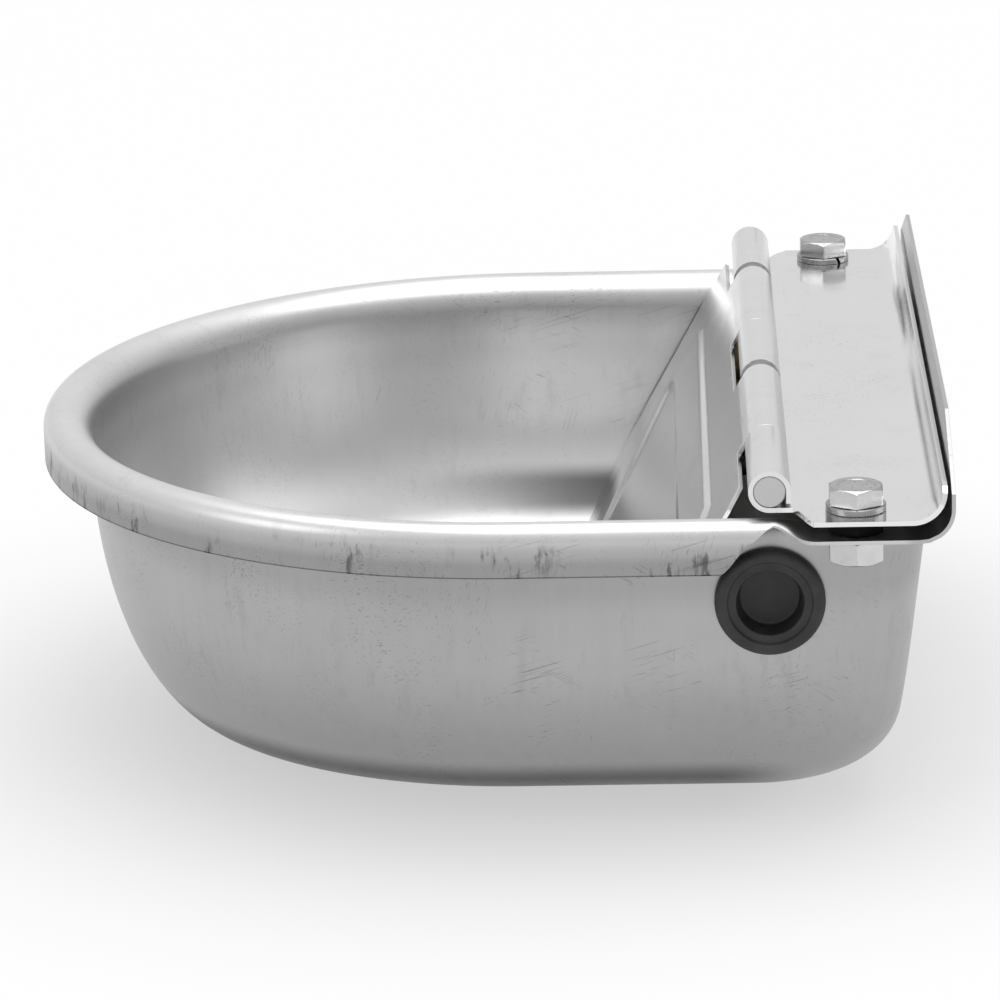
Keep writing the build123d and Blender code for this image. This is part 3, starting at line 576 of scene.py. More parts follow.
def flangeColumn(station, bends, tails):
    # wall top, bend and the flat or rising sheet out to its side edge or to the foot of the upstand
    kind, value = station
    radius = bowl["flangeBend"]
    x = planPoint(station, bowl["wallTop"], radius)[0]
    slope = 0.0
    lift = 0.0
    if x > bendStart:  # the bend stops where it meets the rising sheet
        reach = radius + bowl["upstandBend"]
        run = x - bendStart
        lift = bowl["upstandBend"] + radius - sqrt(reach * reach - run * run)
        slope = asin(run / reach)
    column = []
    centre = (radius, bowl["flange"] + lift - radius)
    for out, up in arcPoints(centre, radius, 180, degrees(slope) - 90, bends):
        column.append((*planPoint(station, bowl["wallTop"], out), up))
    px, py = column[-1][:2]
    if kind == "side":
        end = (px, bowl["flangeHalf"])
    elif kind == "back":
        end = (footX, py)
    else:
        turn = radians(value)
        along = (bowl["flangeHalf"] - cornerY) / max(sin(turn), 1e-6)
        along = min(along, (footX - straightEnd) / max(cos(turn), 1e-6))
        end = (straightEnd + along * cos(turn), cornerY + along * sin(turn))
    for step in range(1, tails + 1):
        share = step / tails
        sx = px + (end[0] - px) * share
        sy = py + (end[1] - py) * share
        column.append((sx, sy, sheetTop(sx)))
    return column


def floorRings(bm, rim):  # rings run in to the middle of the flat floor
    middle = Vector((8, 0, bowl["sheet"]))
    for share in (0.93, 0.82, 0.68, 0.5, 0.3):
        verts, rim = drawnOut(bm, rim)
        for vertex in verts:
            vertex.co = middle + (vertex.co - middle) * share
    bmesh.ops.contextual_create(bm, geom=rim)


def makeBowl():
    bm = bmesh.new()
    stations = planStations()
    columns = bowlSurface(stations)
    gridSheet(bm, len(stations), len(columns[0]), lambda column, row: columns[column][row])
    weld(bm)
    foot = [edge for edge in bm.edges if edge.is_boundary
            and all(vertex.co.x > footX - 0.01 and vertex.co.z > bowl["flange"] for vertex in edge.verts)]
    centre = (bendStart, 0, bowl["flange"] + bowl["upstandBend"])
    left = pi / 2 - asin((footX - bendStart) / bowl["upstandBend"])
    turned = bmesh.ops.spin(bm, geom=foot, cent=centre, axis=-acrossAxis, angle=left, steps=8,
                            use_merge=False)["geom_last"]
    for vertex in drawnOut(bm, edgesOf(turned))[0]:
        past = shareOf(vertex.co.y, bowl["upstandFlat"], bowl["flangeHalf"])
        vertex.co.z = bowl["upstandTop"] + (bowl["upstandEnd"] - bowl["upstandTop"]) * past
    weld(bm)
    bmesh.ops.mirror(bm, geom=bm.verts[:] + bm.edges[:] + bm.faces[:], axis="Y", merge_dist=0.02)
    low = bowl["sheet"] + 0.01
    floorRings(bm, [edge for edge in bm.edges if edge.is_boundary and max(v.co.z for v in edge.verts) < low])
    weld(bm)
    thickenSheet(bm, bowl["sheet"], upAxis, lambda centre: centre.z < low)
    softenEdges(bm, bowl["edge"], 60)
    piece = makePiece("bowlShell", bm, "bowl", ["bowl_shell", "rim_and_flange"], bowlSteel)
    holes = []
    for side in (-1, 1):
        holes.append(((bolt["x"], side * bolt["y"], bowl["flange"]), upAxis, bolt["hole"], 10))
        holes.append(((inlet["x"], side * bowl["wallIn"], inlet["z"]), acrossAxis, bowl["sideHole"], 10))
        holes.append(((bowl["backReach"], side * bowl["wallHoleHalf"], bowl["wallHoleHeight"]), (1, 0, 0),
                      bowl["wallHole"], 12))
    cutHoles(piece, holes)


bolt = {
    "x": 85.1,
    "y": 123.0,
    "radius": 4.0,
    "hole": 4.5,
    "flats": 13.0,
    "headHeight": 4.6,
    "tip": 75.9,
    "pitch": 1.25,
    "threadDepth": 0.68,
    "washerReach": 7.4,
    "washerBore": 4.2,
    "washerHeight": 1.7,
    "nutHeight": 6.5,
    "coverTop": 89.5,
    "coverUnder": 88.3,
    "split": 1.0,
    "splitTurn": 2.2,
    "splitLean": 25.0,
}
makeBowl()
print("bowl made")


# cover: plate with curled knuckles in front and a bent-up flange at the back

cover = {
    "sheet": 1.2,
    "half": 134.0,
    "barrelHalf": 123.5,
    "knuckle": 41.0,
    "slot": 62.0,
    "top": 89.5,
    "back": 105.8,
    "backTop": 97.5,
    "bend": 7.4,
    "slotX": 69.7,
    "joggleX": 71.0,
    "flatX": 74.5,
    "tail": 3.0,
    "corner": 5.0,
    "edge": 0.13,
}


def coverProfile():  # (x, z) along the top face, from the back flange down and round the pin
    radius = hinge["pin"] + hinge["gap"]
    low = hinge["z"] - radius
    bend = cover["bend"]
    run = cover["flatX"] - cover["joggleX"]
    turn = 2 * atan2(low - cover["top"], run)
    stepBend = run / 2 / sin(turn)
    half = cover["sheet"] / 2
    turn = degrees(turn)
    points = [(cover["back"], cover["backTop"])]
    points += arcPoints((cover["back"] - bend, cover["top"] + bend), bend, 0, -90, 14)
    points += [(x, cover["top"]) for x in (94, 90, 86, 82, 78)]
    points += arcPoints((cover["flatX"], cover["top"] + stepBend - half), stepBend - half, -90, -turn, 5)
    points += arcPoints((cover["joggleX"], low - stepBend - half), stepBend + half, 90 - turn, turn, 5)
    points += [(cover["slotX"], low)]
    points += arcPoints((hinge["x"], hinge["z"]), radius, -90, -270, 48)
    points += [(hinge["x"] + radius, hinge["z"] - cover["tail"])]
    return points


def deleteFaces(bm, unwanted):
    bmesh.ops.delete(bm, geom=facesAt(bm, unwanted), context="FACES")


def cutAway(bm, wanted, spot, normal):  # clears the side of a plane that the normal points to
    faces = facesAt(bm, wanted)
    geometry = set(faces)
    for face in faces:
        geometry.update(face.edges)
        geometry.update(face.verts)
    bmesh.ops.bisect_plane(bm, geom=list(geometry), dist=1e-5, plane_co=spot, plane_no=normal,
                           clear_outer=True)


def makeCover():
    bm = bmesh.new()
    profile = coverProfile()
    first = cover["knuckle"] / 2
    rows = [first, first + cover["slot"], cover["barrelHalf"], cover["half"]]
    rows = [-row for row in reversed(rows)] + rows
    gridSheet(bm, len(profile), len(rows),
              lambda column, row: (profile[column][0], rows[row], profile[column][1]))
    weld(bm)
    front = cover["slotX"]
    deleteFaces(bm, lambda c: c.x < front and (first < abs(c.y) < first + cover["slot"]))
    deleteFaces(bm, lambda c: c.x < front and abs(c.y) > cover["barrelHalf"])
    across = cover["half"] - cover["barrelHalf"]
    for side in (-1, 1):
        cutAway(bm, lambda c: c.y * side > cover["barrelHalf"] and c.x < cover["flatX"] + 4,
                (front, side * cover["barrelHalf"], 0), (-across, side * (cover["flatX"] - front), 0))
        for angle in range(5, 90, 8):
            normal = Vector((0, side * cos(radians(angle)), sin(radians(angle))))
            middle = Vector((0, side * (cover["half"] - cover["corner"]), cover["backTop"] - cover["corner"]))
            cutAway(bm, lambda c: c.x > cover["back"] - cover["bend"] and c.y * side > 0,
                    middle + normal * cover["corner"], normal)
    thickenSheet(bm, cover["sheet"], upAxis, lambda c: 80 < c.x < 90)
    softenEdges(bm, cover["edge"], 60)
    piece = makePiece("coverPlate", bm, "bowl", ["cover_plate"], coverSteel)
    cutHoles(piece, [((bolt["x"], side * bolt["y"], cover["top"]), upAxis, bolt["hole"], 10)
                     for side in (-1, 1)])


makeCover()
print("cover made")


# baffle: pressed sheet in the bowl with two knuckles on the cover's pin

baffle = {
    "tilt": 29.0,
    "face": 5.25,
    "notch": 5.5,
    "ear": 110.0,
    "earWide": 3.0,
    "earDrop": 10.0,
    "side": 111.9,
    "floor": 3.0,
    "sideRound": (50.0, 47.0),
    "press": 1.0,
    "outer": ((86.0, 20.5), (99.0, 42.0), (76.0, 94.0)),
    "inner": ((85.0, 36.0), (60.0, 89.0)),
    "corner": 4.0,
    "slope": 3.6,
    "knuckles": ((-78.1, -20.8), (24.9, 82.2)),
}


def pressRing(corners, grow):  # rounded outline of a pressing, moved outwards by grow
    outline = [Vector((half, -drop)) for half, drop in corners]
    outline += [Vector((-half, -drop)) for half, drop in reversed(corners)]
    points = []
    for index, corner in enumerate(outline):
        before = (corner - outline[index - 1]).normalized()
        after = (outline[(index + 1) % len(outline)] - corner).normalized()
        middle = (after - before).normalized()
        centre = corner + middle * (baffle["corner"] / abs(before.cross(middle)))
        start = atan2(before.x, -before.y)
        turn = -before.angle(after)
        for step in range(9):
            angle = start + turn * step / 8
            reach = baffle["corner"] + grow
            points.append((centre.x + reach * cos(angle), centre.y + reach * sin(angle)))
    return points


def pressStep(bm, corners, low, high):  # soft slope in to another level, joined to the sheet round it
    shares = [step / 10 for step in range(11)]
    rings = [pressRing(corners, 1.2 - baffle["slope"] * (share - 0.2)) for share in shares]
    heights = [low + (high - low) * eased(share) for share in shares]
    count = len(rings[0])
    gridSheet(bm, count + 1, len(rings), lambda column, row: (*rings[row][column % count], heights[row]))
    weld(bm)
    bmesh.ops.triangle_fill(bm, use_beauty=True, edges=openEdges(bm, low), normal=upAxis)


def baffleOutline():
    tilt = radians(baffle["tilt"])
    foot = baffle["side"] - baffle["sideRound"][0]
    right = [(baffle["ear"], -baffle["notch"])]
    earFoot = baffle["notch"] + baffle["earDrop"] * (baffle["side"] - baffle["ear"]) / baffle["earWide"]
    right.append((baffle["side"], -earFoot))
    for step in range(25):
        angle = radians(90 * step / 24)
        level = baffle["floor"] + baffle["sideRound"][1] * (1 - sin(angle))
        drop = (hinge["z"] + baffle["face"] * sin(tilt) - level) / cos(tilt)
        right.append((foot + baffle["sideRound"][0] * cos(angle), -drop))
    tops = sorted(end for knuckle in baffle["knuckles"] for end in knuckle)
    left = [(-x, y) for x, y in reversed(right)]
    return [(x, -baffle["notch"]) for x in tops] + right + left


def makeBaffle():
    bm = bmesh.new()
    face = baffle["face"]
    raised = face + baffle["press"]
    chain(bm, [(x, y, face) for x, y in baffleOutline()], True)
    pressStep(bm, baffle["outer"], face, raised)
    pressStep(bm, baffle["inner"], raised, face)
    inside = [edge for edge in openEdges(bm, face)
              if all(abs(v.co.x) < baffle["inner"][0][0] and v.co.y > -baffle["inner"][1][1] - 1
                     and v.co.y < -baffle["notch"] - 1 for v in edge.verts)]
    bmesh.ops.contextual_create(bm, geom=inside)
    tops = []
    for edge in openEdges(bm, face):
        middle = (edge.verts[0].co + edge.verts[1].co) / 2
        level = abs(middle.y + baffle["notch"]) < 0.001
        if level and any(low < middle.x < high for low, high in baffle["knuckles"]):
            tops.append(edge)
    verts, edges = drawnOut(bm, tops)
    bmesh.ops.translate(bm, vec=(0, baffle["notch"], 0), verts=verts)
    bmesh.ops.spin(bm, geom=verts + edges, cent=(0, 0, 0), axis=(-1, 0, 0), angle=radians(270), steps=48)
    weld(bm)
    thickenSheet(bm, cover["sheet"], upAxis, lambda c: c.y < -95)
    softenEdges(bm, cover["edge"], 60)
    tilt = radians(baffle["tilt"])
    place = Matrix((
        (0, sin(tilt), -cos(tilt), hinge["x"]),
        (-1, 0, 0, 0),
        (0, cos(tilt), sin(tilt), hinge["z"]),
        (0, 0, 0, 1),
    ))
    makePiece("bafflePlate", bm, "baffle", ["baffle_plate"], baffleSteel, place)


makeBaffle()
print("baffle made")


# hinge pin, bolts, spring washers and nuts

def makePin():
    bm = bmesh.new()
    end = cover["barrelHalf"]
    pin = hinge["pin"]
    half = [(0.0, end - 0.12), (2.6, end - 0.05), (3.2, end),
            (pin - 0.4, end), (pin - 0.12, end - 0.12), (pin, end - 0.4)]
    spinRound(bm, half + [(radius, -height) for radius, height in reversed(half)], 64, False)
    place = movedTo((hinge["x"], 0, hinge["z"]), 90)
    makePiece("hingePin", bm, "bowl", ["hinge_pin"], pinSteel, place)


def hexBlock(bm, flats, low, high, bore=0.0, bothEnds=False, columns=96):
    disc = flats / 2 * 0.95
    rise = tan(radians(30))

    def profile(corner):  # (radius, height) from the top down where the hexagon reaches to corner
        points = [(disc, high), (corner, high - (corner - disc) * rise)]
        if bothEnds:
            points += [(corner, low + (corner - disc) * rise), (disc, low)]
        else:
            points += [(corner, low + 0.25), (corner - 0.25, low)]
        if bore:
            points = [(bore, high - 0.5), (bore + 0.5, high)] + points
            return points + [(bore + 0.5, low), (bore, low + 0.5), points[0]]
        return [(0.5, high - 0.18), (disc * 0.66, high - 0.14), (disc * 0.72, high)] + points + [(0.5, low)]

    def place(column, row):
        angle = 2 * pi * column / columns
        corner = flats / 2 / cos((angle + pi / 2) % (pi / 3) - pi / 6)  # hexagon points along Y
        reach, height = profile(corner)[row]
        return reach * cos(angle), reach * sin(angle), height

    made = gridSheet(bm, columns + 1, len(profile(disc)), place)
    weld(bm, made)
    fillHoles(bm)
    faceOut(bm)


def threadRod(bm, radius, depth, pitch, low, high, steps=40, tip=0.0):
    # rolled thread; the tip is its lower end
    turns = ceil((high - low) / pitch) + 2
    core = radius - depth
    shape = [(core, 0.0), (core, 0.1), (radius - 0.04, 0.44), (radius, 0.5), (radius - 0.04, 0.56),
             (core, 0.9), (core, 1.0)]
    geometry = chain(bm, [(reach, 0, low + pitch * (share - 1)) for reach, share in shape])
    bmesh.ops.spin(bm, geom=geometry, cent=(0, 0, 0), axis=upAxis, dvec=(0, 0, pitch / steps),
                   angle=2 * pi * turns, steps=steps * turns, use_merge=False)
    weld(bm)
    for spot, side in ((low, -1), (high, 1)):
        cutAway(bm, lambda c: True, (0, 0, spot), (0, 0, side))
    for vertex in bm.verts:
        limit = core - tip / 2 + vertex.co.z - low
        reach = vertex.co.xy.length
        if tip and reach > limit:
            vertex.co.x *= limit / reach
            vertex.co.y *= limit / reach
    faceOut(bm)


def atBolts(name, material, node, build):
    for side, label in ((-1, "Near"), (1, "Far")):
        bm = bmesh.new()
        build(bm)
        place = movedTo((bolt["x"], side * bolt["y"], 0), 180 if side > 0 else 0, "Z")
        makePiece(name + label, bm, "bowl", [node], material, place)


def buildBolt(bm):
    seat = bolt["coverTop"] + bolt["washerHeight"]
    threadRod(bm, bolt["radius"], bolt["threadDepth"], bolt["pitch"], bolt["tip"], seat + 0.1, 40, 0.5)
    fillHoles(bm, openEdges(bm, bolt["tip"]) + openEdges(bm, seat + 0.1))
    head = bmesh.new()
    hexBlock(head, bolt["flats"], seat, seat + bolt["headHeight"])
    softenEdges(head, 0.14)
    addMesh(bm, head)


def addMesh(bm, part):
    mesh = meshFrom("part", part)
    bm.from_mesh(mesh)
    bpy.data.meshes.remove(mesh)


def buildWasher(bm):
    inner, outer, height = bolt["washerBore"], bolt["washerReach"], bolt["washerHeight"]
    corners = [(inner, 0.15), (inner + 0.15, 0), (outer - 0.2, 0), (outer, 0.2), (outer, height - 0.2),
               (outer - 0.2, height), (inner + 0.15, height), (inner, height - 0.15)]
    gap = bolt["split"] / outer
    geometry = chain(bm, [(radius, 0, bolt["coverTop"] + level) for radius, level in corners], True)
    bmesh.ops.spin(bm, geom=geometry, cent=(0, 0, 0), axis=upAxis, angle=2 * pi - gap, steps=72,
                   use_merge=False)
    fillHoles(bm)
    lean = tan(radians(bolt["splitLean"]))
    for vertex in bm.verts:
        turn = -(vertex.co.z - bolt["coverTop"] - height / 2) * lean / outer
        vertex.co = Matrix.Rotation(turn + gap / 2 + bolt["splitTurn"], 3, "Z") @ vertex.co
    faceOut(bm)


def buildSpacer(bm):
    hexBlock(bm, bolt["flats"], bowl["flange"], bolt["coverUnder"], bolt["radius"] + 0.05, True)
    softenEdges(bm, 0.12)


def buildNut(bm):
    under = bowl["flange"] - bowl["sheet"]
    hexBlock(bm, bolt["flats"], under - bolt["nutHeight"], under, bolt["radius"] + 0.05, True)
    softenEdges(bm, 0.14)


makePin()
atBolts("coverBolt", boltSteel, "cover_bolts", buildBolt)
atBolts("springWasher", washerSteel, "spring_washers", buildWasher)
atBolts("spacerNut", spacerPaintedShade, "spacer_nuts", buildSpacer)
atBolts("clampNut", boltSteel, "clamp_nuts", buildNut)
print("pin and bolts made")


# blanking plug and float valve

inlet.update({
    "wallFace": 114.9,
    "thread": 10.478,
    "threadDepth": 1.1,
    "pitch": 1.814,
    "tailEnd": 135.4,
    "nutFlats": 27.0,
    "nutStart": 116.4,
    "nutEnd": 123.4,
    "washer": 13.6,
    "gasketFace": 111.9,
    "flangeFace": 108.9,
    "barrel": 9.0,
    "barrelEnd": 72.9,
    "bore": 6.0,
    "seatFront": 93.9,
    "seatHole": 2.5,
    "seatLip": 4.0,
    "seal": 4.6,
    "sealDepth": 2.5,
    "plungerFront": 89.3,
    "plungerBack": 64.4,
})
lever = {
    "y": 62.9,
    "z": 52.2,
    "drop": 12.0,
    "hub": 4.6,
    "tip": 2.4,
    "web": 2.6,
    "width": 7.4,
    "arm": 2.5,
    "length": 121.0,
    "heel": 11.5,
    "floatStart": 46.0,
    "floatLength": 70.0,
    "floatRadius": 19.0,
    "floatRound": 9.0,
    "nutFlats": 8.0,
    "nutHeight": 3.0,
    "lugReach": 5.0,
    "lugOut": 7.0,
    "lugIn": 4.0,
    "pin": 2.0,
    "pinHead": 3.4,
    "pinHeadHeight": 1.4,
    "pinOut": 4.8,
    "splitOut": 1.4,
}
pivot = Vector((inlet["x"], lever["y"], lever["z"]))
atLever = movedTo(pivot, lever["drop"])
alongLever = atLever @ movedTo(turn=90)  # Z of a piece goes out along the float's arm
plug = {"flange": 13.75, "face": 117.9, "cup": 8.2, "step": 10.6, "lip": 12.0, "neck": 10.7}


def onInlet(side):  # Z of a piece goes out along the inlet's axis on one side of the bowl
    return movedTo((inlet["x"], 0, inlet["z"]), -90 * side)


def roundPiece(name, profile, body, node, material, place, steps=96, closed=True, softness=0.0):
    bm = bmesh.new()
    spinRound(bm, profile, steps, closed)
    if softness:
        softenEdges(bm, softness, 40)
    makePiece(name, bm, body, [node], material, place)


def makePlug():
    face, flange, lip, neck = plug["face"], plug["flange"], plug["lip"], plug["neck"]
    cup, step = plug["cup"], plug["step"]
    profile = [(0.0, 109.1), (9.8, 109.1), (10.1, 109.3), (lip, 113.3), (lip, 113.75), (lip - 0.15, 113.9),
               (neck, 113.9), (neck, 114.9), (flange - 0.2, 114.9), (flange, 115.1), (flange, 116.1)]
    profile += arcPoints((flange - 1.8, 116.1), 1.8, 0, 90, 8)[1:]
    profile += [(step + 0.35, face)] + arcPoints((step + 0.35, face - 0.35), 0.35, 90, 90, 4)[1:]
    profile += [(step - 0.3, face - 0.7), (step - 0.5, face - 0.8), (cup + 1.1, face - 0.8)]
    profile += [(cup + 0.8, face - 0.72)]
    profile += arcPoints((cup + 0.65, face - 1.2), 0.5, 75, 105, 6)
    profile += [(cup - 0.1, face - 2.6), (cup - 0.55, 111.6)]
    profile += arcPoints((cup - 1.35, 111.7), 0.8, 0, -90, 5)[1:]
    profile += [(2.2, 110.9), (1.6, 111.05), (0.0, 111.1)]
    roundPiece("blankingPlug", profile, "bowl", "blanking_plug", plugRubber,
               onInlet(-1), closed=False)


def makeLugs(bm):
    root = inlet["z"] - lever["z"]
    ends = inlet["barrelEnd"] - lever["y"]
    for side in (-1, 1):
        outline = arcPoints((0, 0), lever["lugReach"], -60, -180, 20)
        outline += [(ends, root + 4), (ends + 8, root + 3), (ends + 8, root - 3), (ends, -2)]
        low, high = sorted((side * lever["lugIn"], side * lever["lugOut"]))
        part = bmesh.new()
        loop = chain(part, [(low, y, z) for y, z in outline], True)
        face = bmesh.ops.contextual_create(part, geom=loop)["faces"]
        made = bmesh.ops.extrude_face_region(part, geom=face)["geom"]
        bmesh.ops.translate(part, vec=(high - low, 0, 0), verts=vertsOf(made))
        faceOut(part)
        softenEdges(part, 0.3)
        move(part, movedTo(pivot))
        addMesh(bm, part)


def makeValveBody():
    out = onInlet(1)
    thread, core = inlet["thread"], inlet["thread"] - inlet["threadDepth"]
    bm = bmesh.new()
    threadRod(bm, thread, inlet["threadDepth"], inlet["pitch"], inlet["nutEnd"], inlet["tailEnd"], 64)
    for vertex in drawnOut(bm, openEdges(bm, inlet["tailEnd"]))[0]:
        vertex.co.xy = vertex.co.xy.normalized() * (core - 0.1)
    faceOut(bm)
    tube = bmesh.new()
    barrel, start, flange = inlet["barrel"], inlet["barrelEnd"], inlet["flangeFace"]
    bore, washer, tail, face = inlet["bore"], inlet["washer"], inlet["tailEnd"], inlet["gasketFace"]
    profile = [(bore, start + 0.4), (bore + 0.4, start), (barrel - 0.6, start), (barrel, start + 0.6)]
    profile += [(barrel, flange - 0.8), (barrel + 0.25, flange - 0.25), (barrel + 0.8, flange)]
    profile += [(washer - 0.4, flange), (washer, flange + 0.4), (washer, face - 0.2), (washer - 0.2, face)]
    spinRound(tube, profile + [(core, face), (core, tail), (bore + 0.8, tail), (bore, tail - 0.8)], 96)
    addMesh(bm, tube)
    move(bm, out)
    makeLugs(bm)
    makePiece("valveBody", bm, "bowl", ["valve_body"], valveBrass)


def crossRod(bm, radius, width, spot=(0, 0, 0)):  # short round bar along X
    part = bmesh.new()
    half = width / 2
    spinRound(part, [(0, -half), (radius - 0.3, -half), (radius, 0.3 - half), (radius, half - 0.3),
                     (radius - 0.3, half), (0, half)], 48, False)
    move(part, movedTo(spot, 90, "Y"))
    addMesh(bm, part)


def makeFloat():
    bm = bmesh.new()
    arm, end = lever["arm"], lever["length"]
    spinRound(bm, [(0, 2), (arm, 2), (arm, end - 6), (arm, end - 0.7), (arm - 0.7, end), (0, end)], 40, False)
    move(bm, movedTo(turn=90))
    crossRod(bm, lever["hub"], lever["width"])
    lean = movedTo(turn=-lever["drop"] / 2)
    tip = lean @ Vector((0, 0, lever["heel"]))
    crossRod(bm, lever["tip"], lever["width"], tip)
    web = bmesh.new()
    size = Matrix.Diagonal((lever["width"], lever["web"], lever["heel"], 1))
    bmesh.ops.create_cube(web, size=1, matrix=lean @ movedTo((0, 0, lever["heel"] / 2)) @ size)
    softenEdges(web, 0.3)
    addMesh(bm, web)
    makePiece("floatArm", bm, "float_lever", ["float_arm"], armSteel, atLever)
    start, finish = lever["floatStart"], lever["floatStart"] + lever["floatLength"]
    radius, turn, nut = lever["floatRadius"], lever["floatRound"], lever["nutHeight"]
    middle = (start + finish) / 2
    profile = [(arm + 0.05, start + 0.6), (arm + 0.6, start), (5.4, start), (5.9, start + 0.5), (6.4, start)]
    profile += [(radius - turn, start)] + arcPoints((radius - turn, start + turn), turn, -90, 90, 14)[1:]
    profile += [(radius, middle - 0.5), (radius - 0.22, middle - 0.25)]
    profile += [(radius - 0.22, middle + 0.25), (radius, middle + 0.5)]
    profile += arcPoints((radius - turn, finish - turn), turn, 0, 90, 14)
    profile += [(6.4, finish), (5.9, finish - 0.5), (5.4, finish), (arm + 0.6, finish)]
    profile += [(arm + 0.05, finish - 0.6)]
    roundPiece("valveFloat", profile, "float_lever", "valve_float", floatPlastic,
               alongLever)
    for low, high, label in ((start - nut, start, "Inner"), (finish, finish + nut, "Outer")):
        bm = bmesh.new()
        hexBlock(bm, lever["nutFlats"], low, high, arm + 0.05, True, 48)
        softenEdges(bm, 0.1)
        makePiece("floatNut" + label, bm, "float_lever", ["float_nuts"], armSteel, alongLever)


def makeInlet():
    out = onInlet(1)
    wall, inside = inlet["wallFace"], inlet["wallFace"] - bowl["sheet"]
    bm = bmesh.new()
    hexBlock(bm, inlet["nutFlats"], inlet["nutStart"], inlet["nutEnd"], inlet["thread"] - 0.53, True)
    softenEdges(bm, 0.2)
    makePiece("inletLockNut", bm, "bowl", ["inlet_lock_nut"], nutBrass, out)
    bore, reach = inlet["thread"] + 0.05, inlet["washer"]
    nut, gasket = inlet["nutStart"], inlet["gasketFace"]
    roundPiece("inletWasher", [(bore, wall), (reach, wall), (reach, nut), (bore, nut)],
               "bowl", "inlet_washer", washerSteel, out, softness=0.2)
    roundPiece("inletGasket", [(bore, gasket), (reach, gasket), (reach, inside), (bore, inside)],
               "bowl", "inlet_gasket", sealRubber, out, softness=0.3)
    front, hole, lip, tube = inlet["seatFront"], inlet["seatHole"], inlet["seatLip"], inlet["bore"]
    roundPiece("valveSeat", [(hole, front - 1.5), (lip - 0.4, front - 1.5), (lip, front - 1.2), (lip, front),
                             (tube, front), (tube, front + 3), (hole + 0.4, front + 3), (hole, front + 2.6)],
               "bowl", "valve_seat", seatNylon, out, 64)
    face, back, guide = inlet["plungerFront"], inlet["plungerBack"], inlet["bore"] - 0.05
    seal, deep = inlet["seal"], face - inlet["sealDepth"]
    roundPiece("valvePlunger", [(0, back), (guide - 1.2, back), (guide, back + 1.2), (guide, face - 0.4),
                                (guide - 0.4, face), (seal + 0.02, face), (seal + 0.02, deep), (0, deep)],
               "plunger", "valve_plunger", plungerPlastic, out, 64, False)
    roundPiece("plungerSeal", [(0, deep), (seal, deep), (seal, face + 0.2), (seal - 0.3, face + 0.5),
                               (0, face + 0.5)],
               "plunger", "plunger_seal", sealRubber, out, 64, False)


def makeLeverPin():
    along = movedTo(pivot, 90, "Y")
    half, head, pin = lever["lugOut"], lever["pinHead"], lever["pin"]
    back, end = half + lever["pinHeadHeight"], half + lever["pinOut"]
    roundPiece("leverPivotPin", [(0, -back), (head - 0.5, -back), (head, 0.5 - back), (head, -half),
                                 (pin, -half), (pin, end - 0.5), (pin - 0.5, end), (0, end)],
               "bowl", "lever_pivot_pin", pinSteel, along, 48, False)
    bm = bmesh.new()
    wire, eye = 0.7, 2.0
    high = pin + eye + wire
    spinRound(bm, [(0, -5), (0.4, -5), (wire, -4.6), (wire, high - eye), (0, high - eye)], 24, False)
    ring = bmesh.new()
    circle = bmesh.ops.create_circle(ring, segments=24, radius=wire)["verts"]
    move(ring, movedTo((eye, 0, 0), 90), circle)
    bmesh.ops.spin(ring, geom=ring.verts[:] + ring.edges[:], cent=(0, 0, 0), axis=upAxis,
                   angle=2 * pi, steps=36, use_merge=True)
    weld(ring)
    faceOut(ring)
    move(ring, movedTo((0, 0, high), 90, "Y"))
    addMesh(bm, ring)
    spot = pivot + Vector((half + lever["splitOut"], 0, 0))
    makePiece("leverSplitPin", bm, "bowl", ["lever_split_pin"], pinSteel, movedTo(spot))


makePlug()
makeValveBody()
makeInlet()
makeFloat()
makeLeverPin()
print("plug and valve made")


# camera, studio and floor

view = {
    "spot": (0.03936, -1.34650, 0.46567),
    "yaw": -1.924,
    "pitch": 16.923,
    "roll": -1.485,
    "lens": 188.43,
}


studio = {
    "floorHalf": 6.0,
    "floorTone": 0.86,
    "roomTone": 0.4,
    "glow": (0.55, 0.985),  # the floor's own light near the bowl and far from it
    "glowReach": (100, 240),
    "lamps": {  # place, aim, size, power
        "overhead": ((0.1, 0.1, 1.7), (0, 0, 0), (1.8, 1.5), 15),
        "left": ((-1.5, -0.9, 0.9), (0, 0, 0.05), (0.8, 1.0), 3),
    },
}


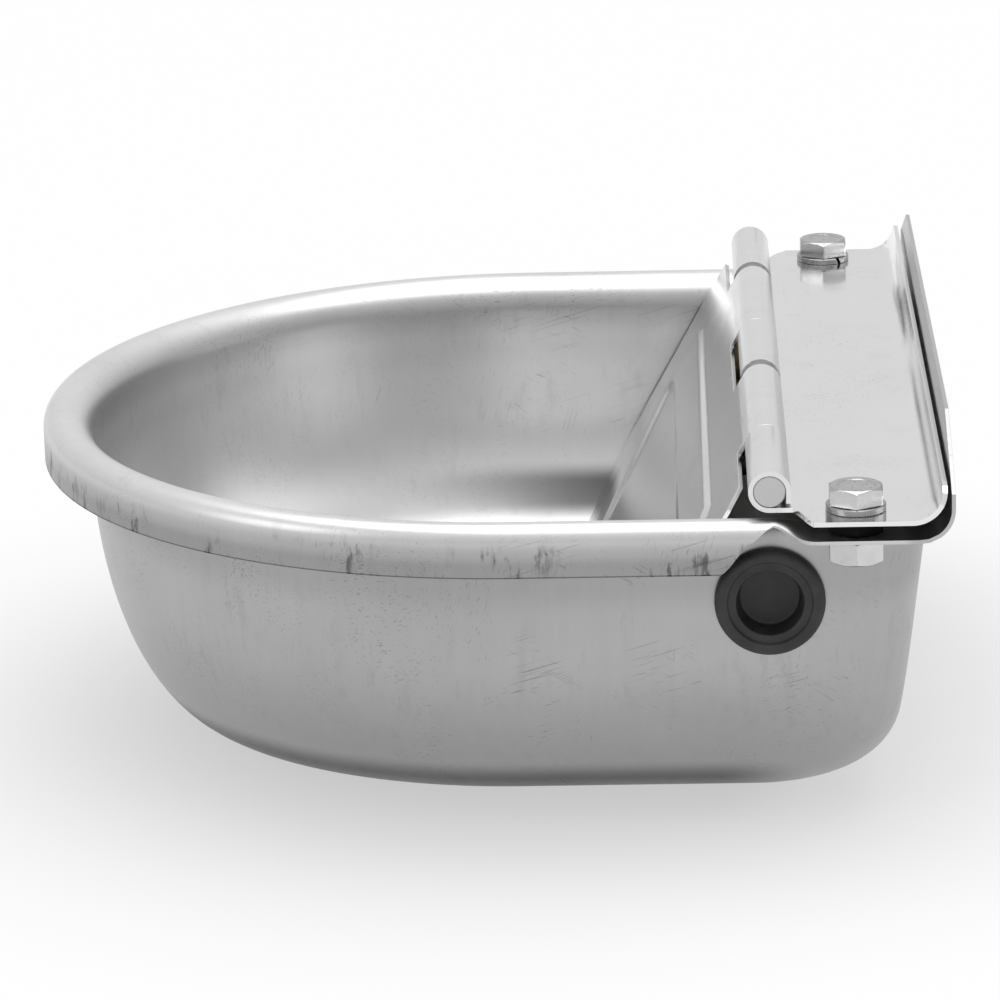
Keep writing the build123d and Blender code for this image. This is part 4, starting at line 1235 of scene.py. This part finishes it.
def makeCamera():
    data = bpy.data.cameras.new("camera")
    data.lens = view["lens"]
    camera = linked("camera", data)
    level = movedTo(view["spot"], -view["yaw"], "Z")
    tilted = movedTo(turn=90 - view["pitch"])
    camera.matrix_world = level @ tilted @ movedTo(turn=view["roll"], axis="Z")
    bpy.context.scene.camera = camera


def softbox(name, spot, aim, size, power):
    data = bpy.data.lights.new(name, "AREA")
    data.shape = "RECTANGLE"
    data.size, data.size_y = size
    data.energy = power
    lamp = linked(name, data)
    lamp.location = spot
    lamp.rotation_euler = (Vector(aim) - Vector(spot)).to_track_quat("-Z", "Y").to_euler()


def seenDirectly(nodes):  # 1 for camera, mirror and glass rays, 0 for the rest
    rays = [nodes.node("ShaderNodeLightPath", {}, {}, "Is " + kind + " Ray")
            for kind in ("Camera", "Glossy", "Transmission")]
    total = rays[0].maths("MAXIMUM", rays[0], rays[1])
    return total.maths("MAXIMUM", total, rays[2])


def mixInto(nodes, share, first, second, output):
    mixed = nodes.node("ShaderNodeMixShader", {}, {0: share, 1: first, 2: second})
    nodes.tree.links.new(mixed.socket, nodes.tree.nodes[output].inputs[0])


def makeStudio():
    bm = bmesh.new()
    bmesh.ops.create_grid(bm, x_segments=1, y_segments=1, size=studio["floorHalf"])
    floor = linked("floor", meshFrom("floor", bm))
    paint = Paint("paleFloor", Base_Color=grey(studio["floorTone"]), Roughness=0.9, Specular_IOR_Level=0.1)
    near, far = studio["glow"]
    reach = paint.away((0, 0, 0), "LENGTH", (0, 0, 0))
    glow = near + paint.step(reach, *studio["glowReach"]) * (far - near)
    plain = Wire(paint, paint.shader.outputs[0])
    white = paint.node("ShaderNodeEmission", {}, {})
    mixInto(paint, seenDirectly(paint) * glow, plain, white, "Material Output")
    floor.data.materials.append(paint.material)
    world = bpy.data.worlds.new("studio")
    bpy.context.scene.world = world
    world.use_nodes = True
    nodes = Nodes(world.node_tree)
    room = nodes.node("ShaderNodeBackground", {}, {"Color": grey(studio["roomTone"])})
    white = nodes.node("ShaderNodeBackground", {}, {})
    mixInto(nodes, seenDirectly(nodes), room, white, "World Output")
    for name, lamp in studio["lamps"].items():
        softbox(name, *lamp)


makeCamera()
makeStudio()
bpy.context.scene.view_settings.view_transform = "Standard"
print("camera and studio made")
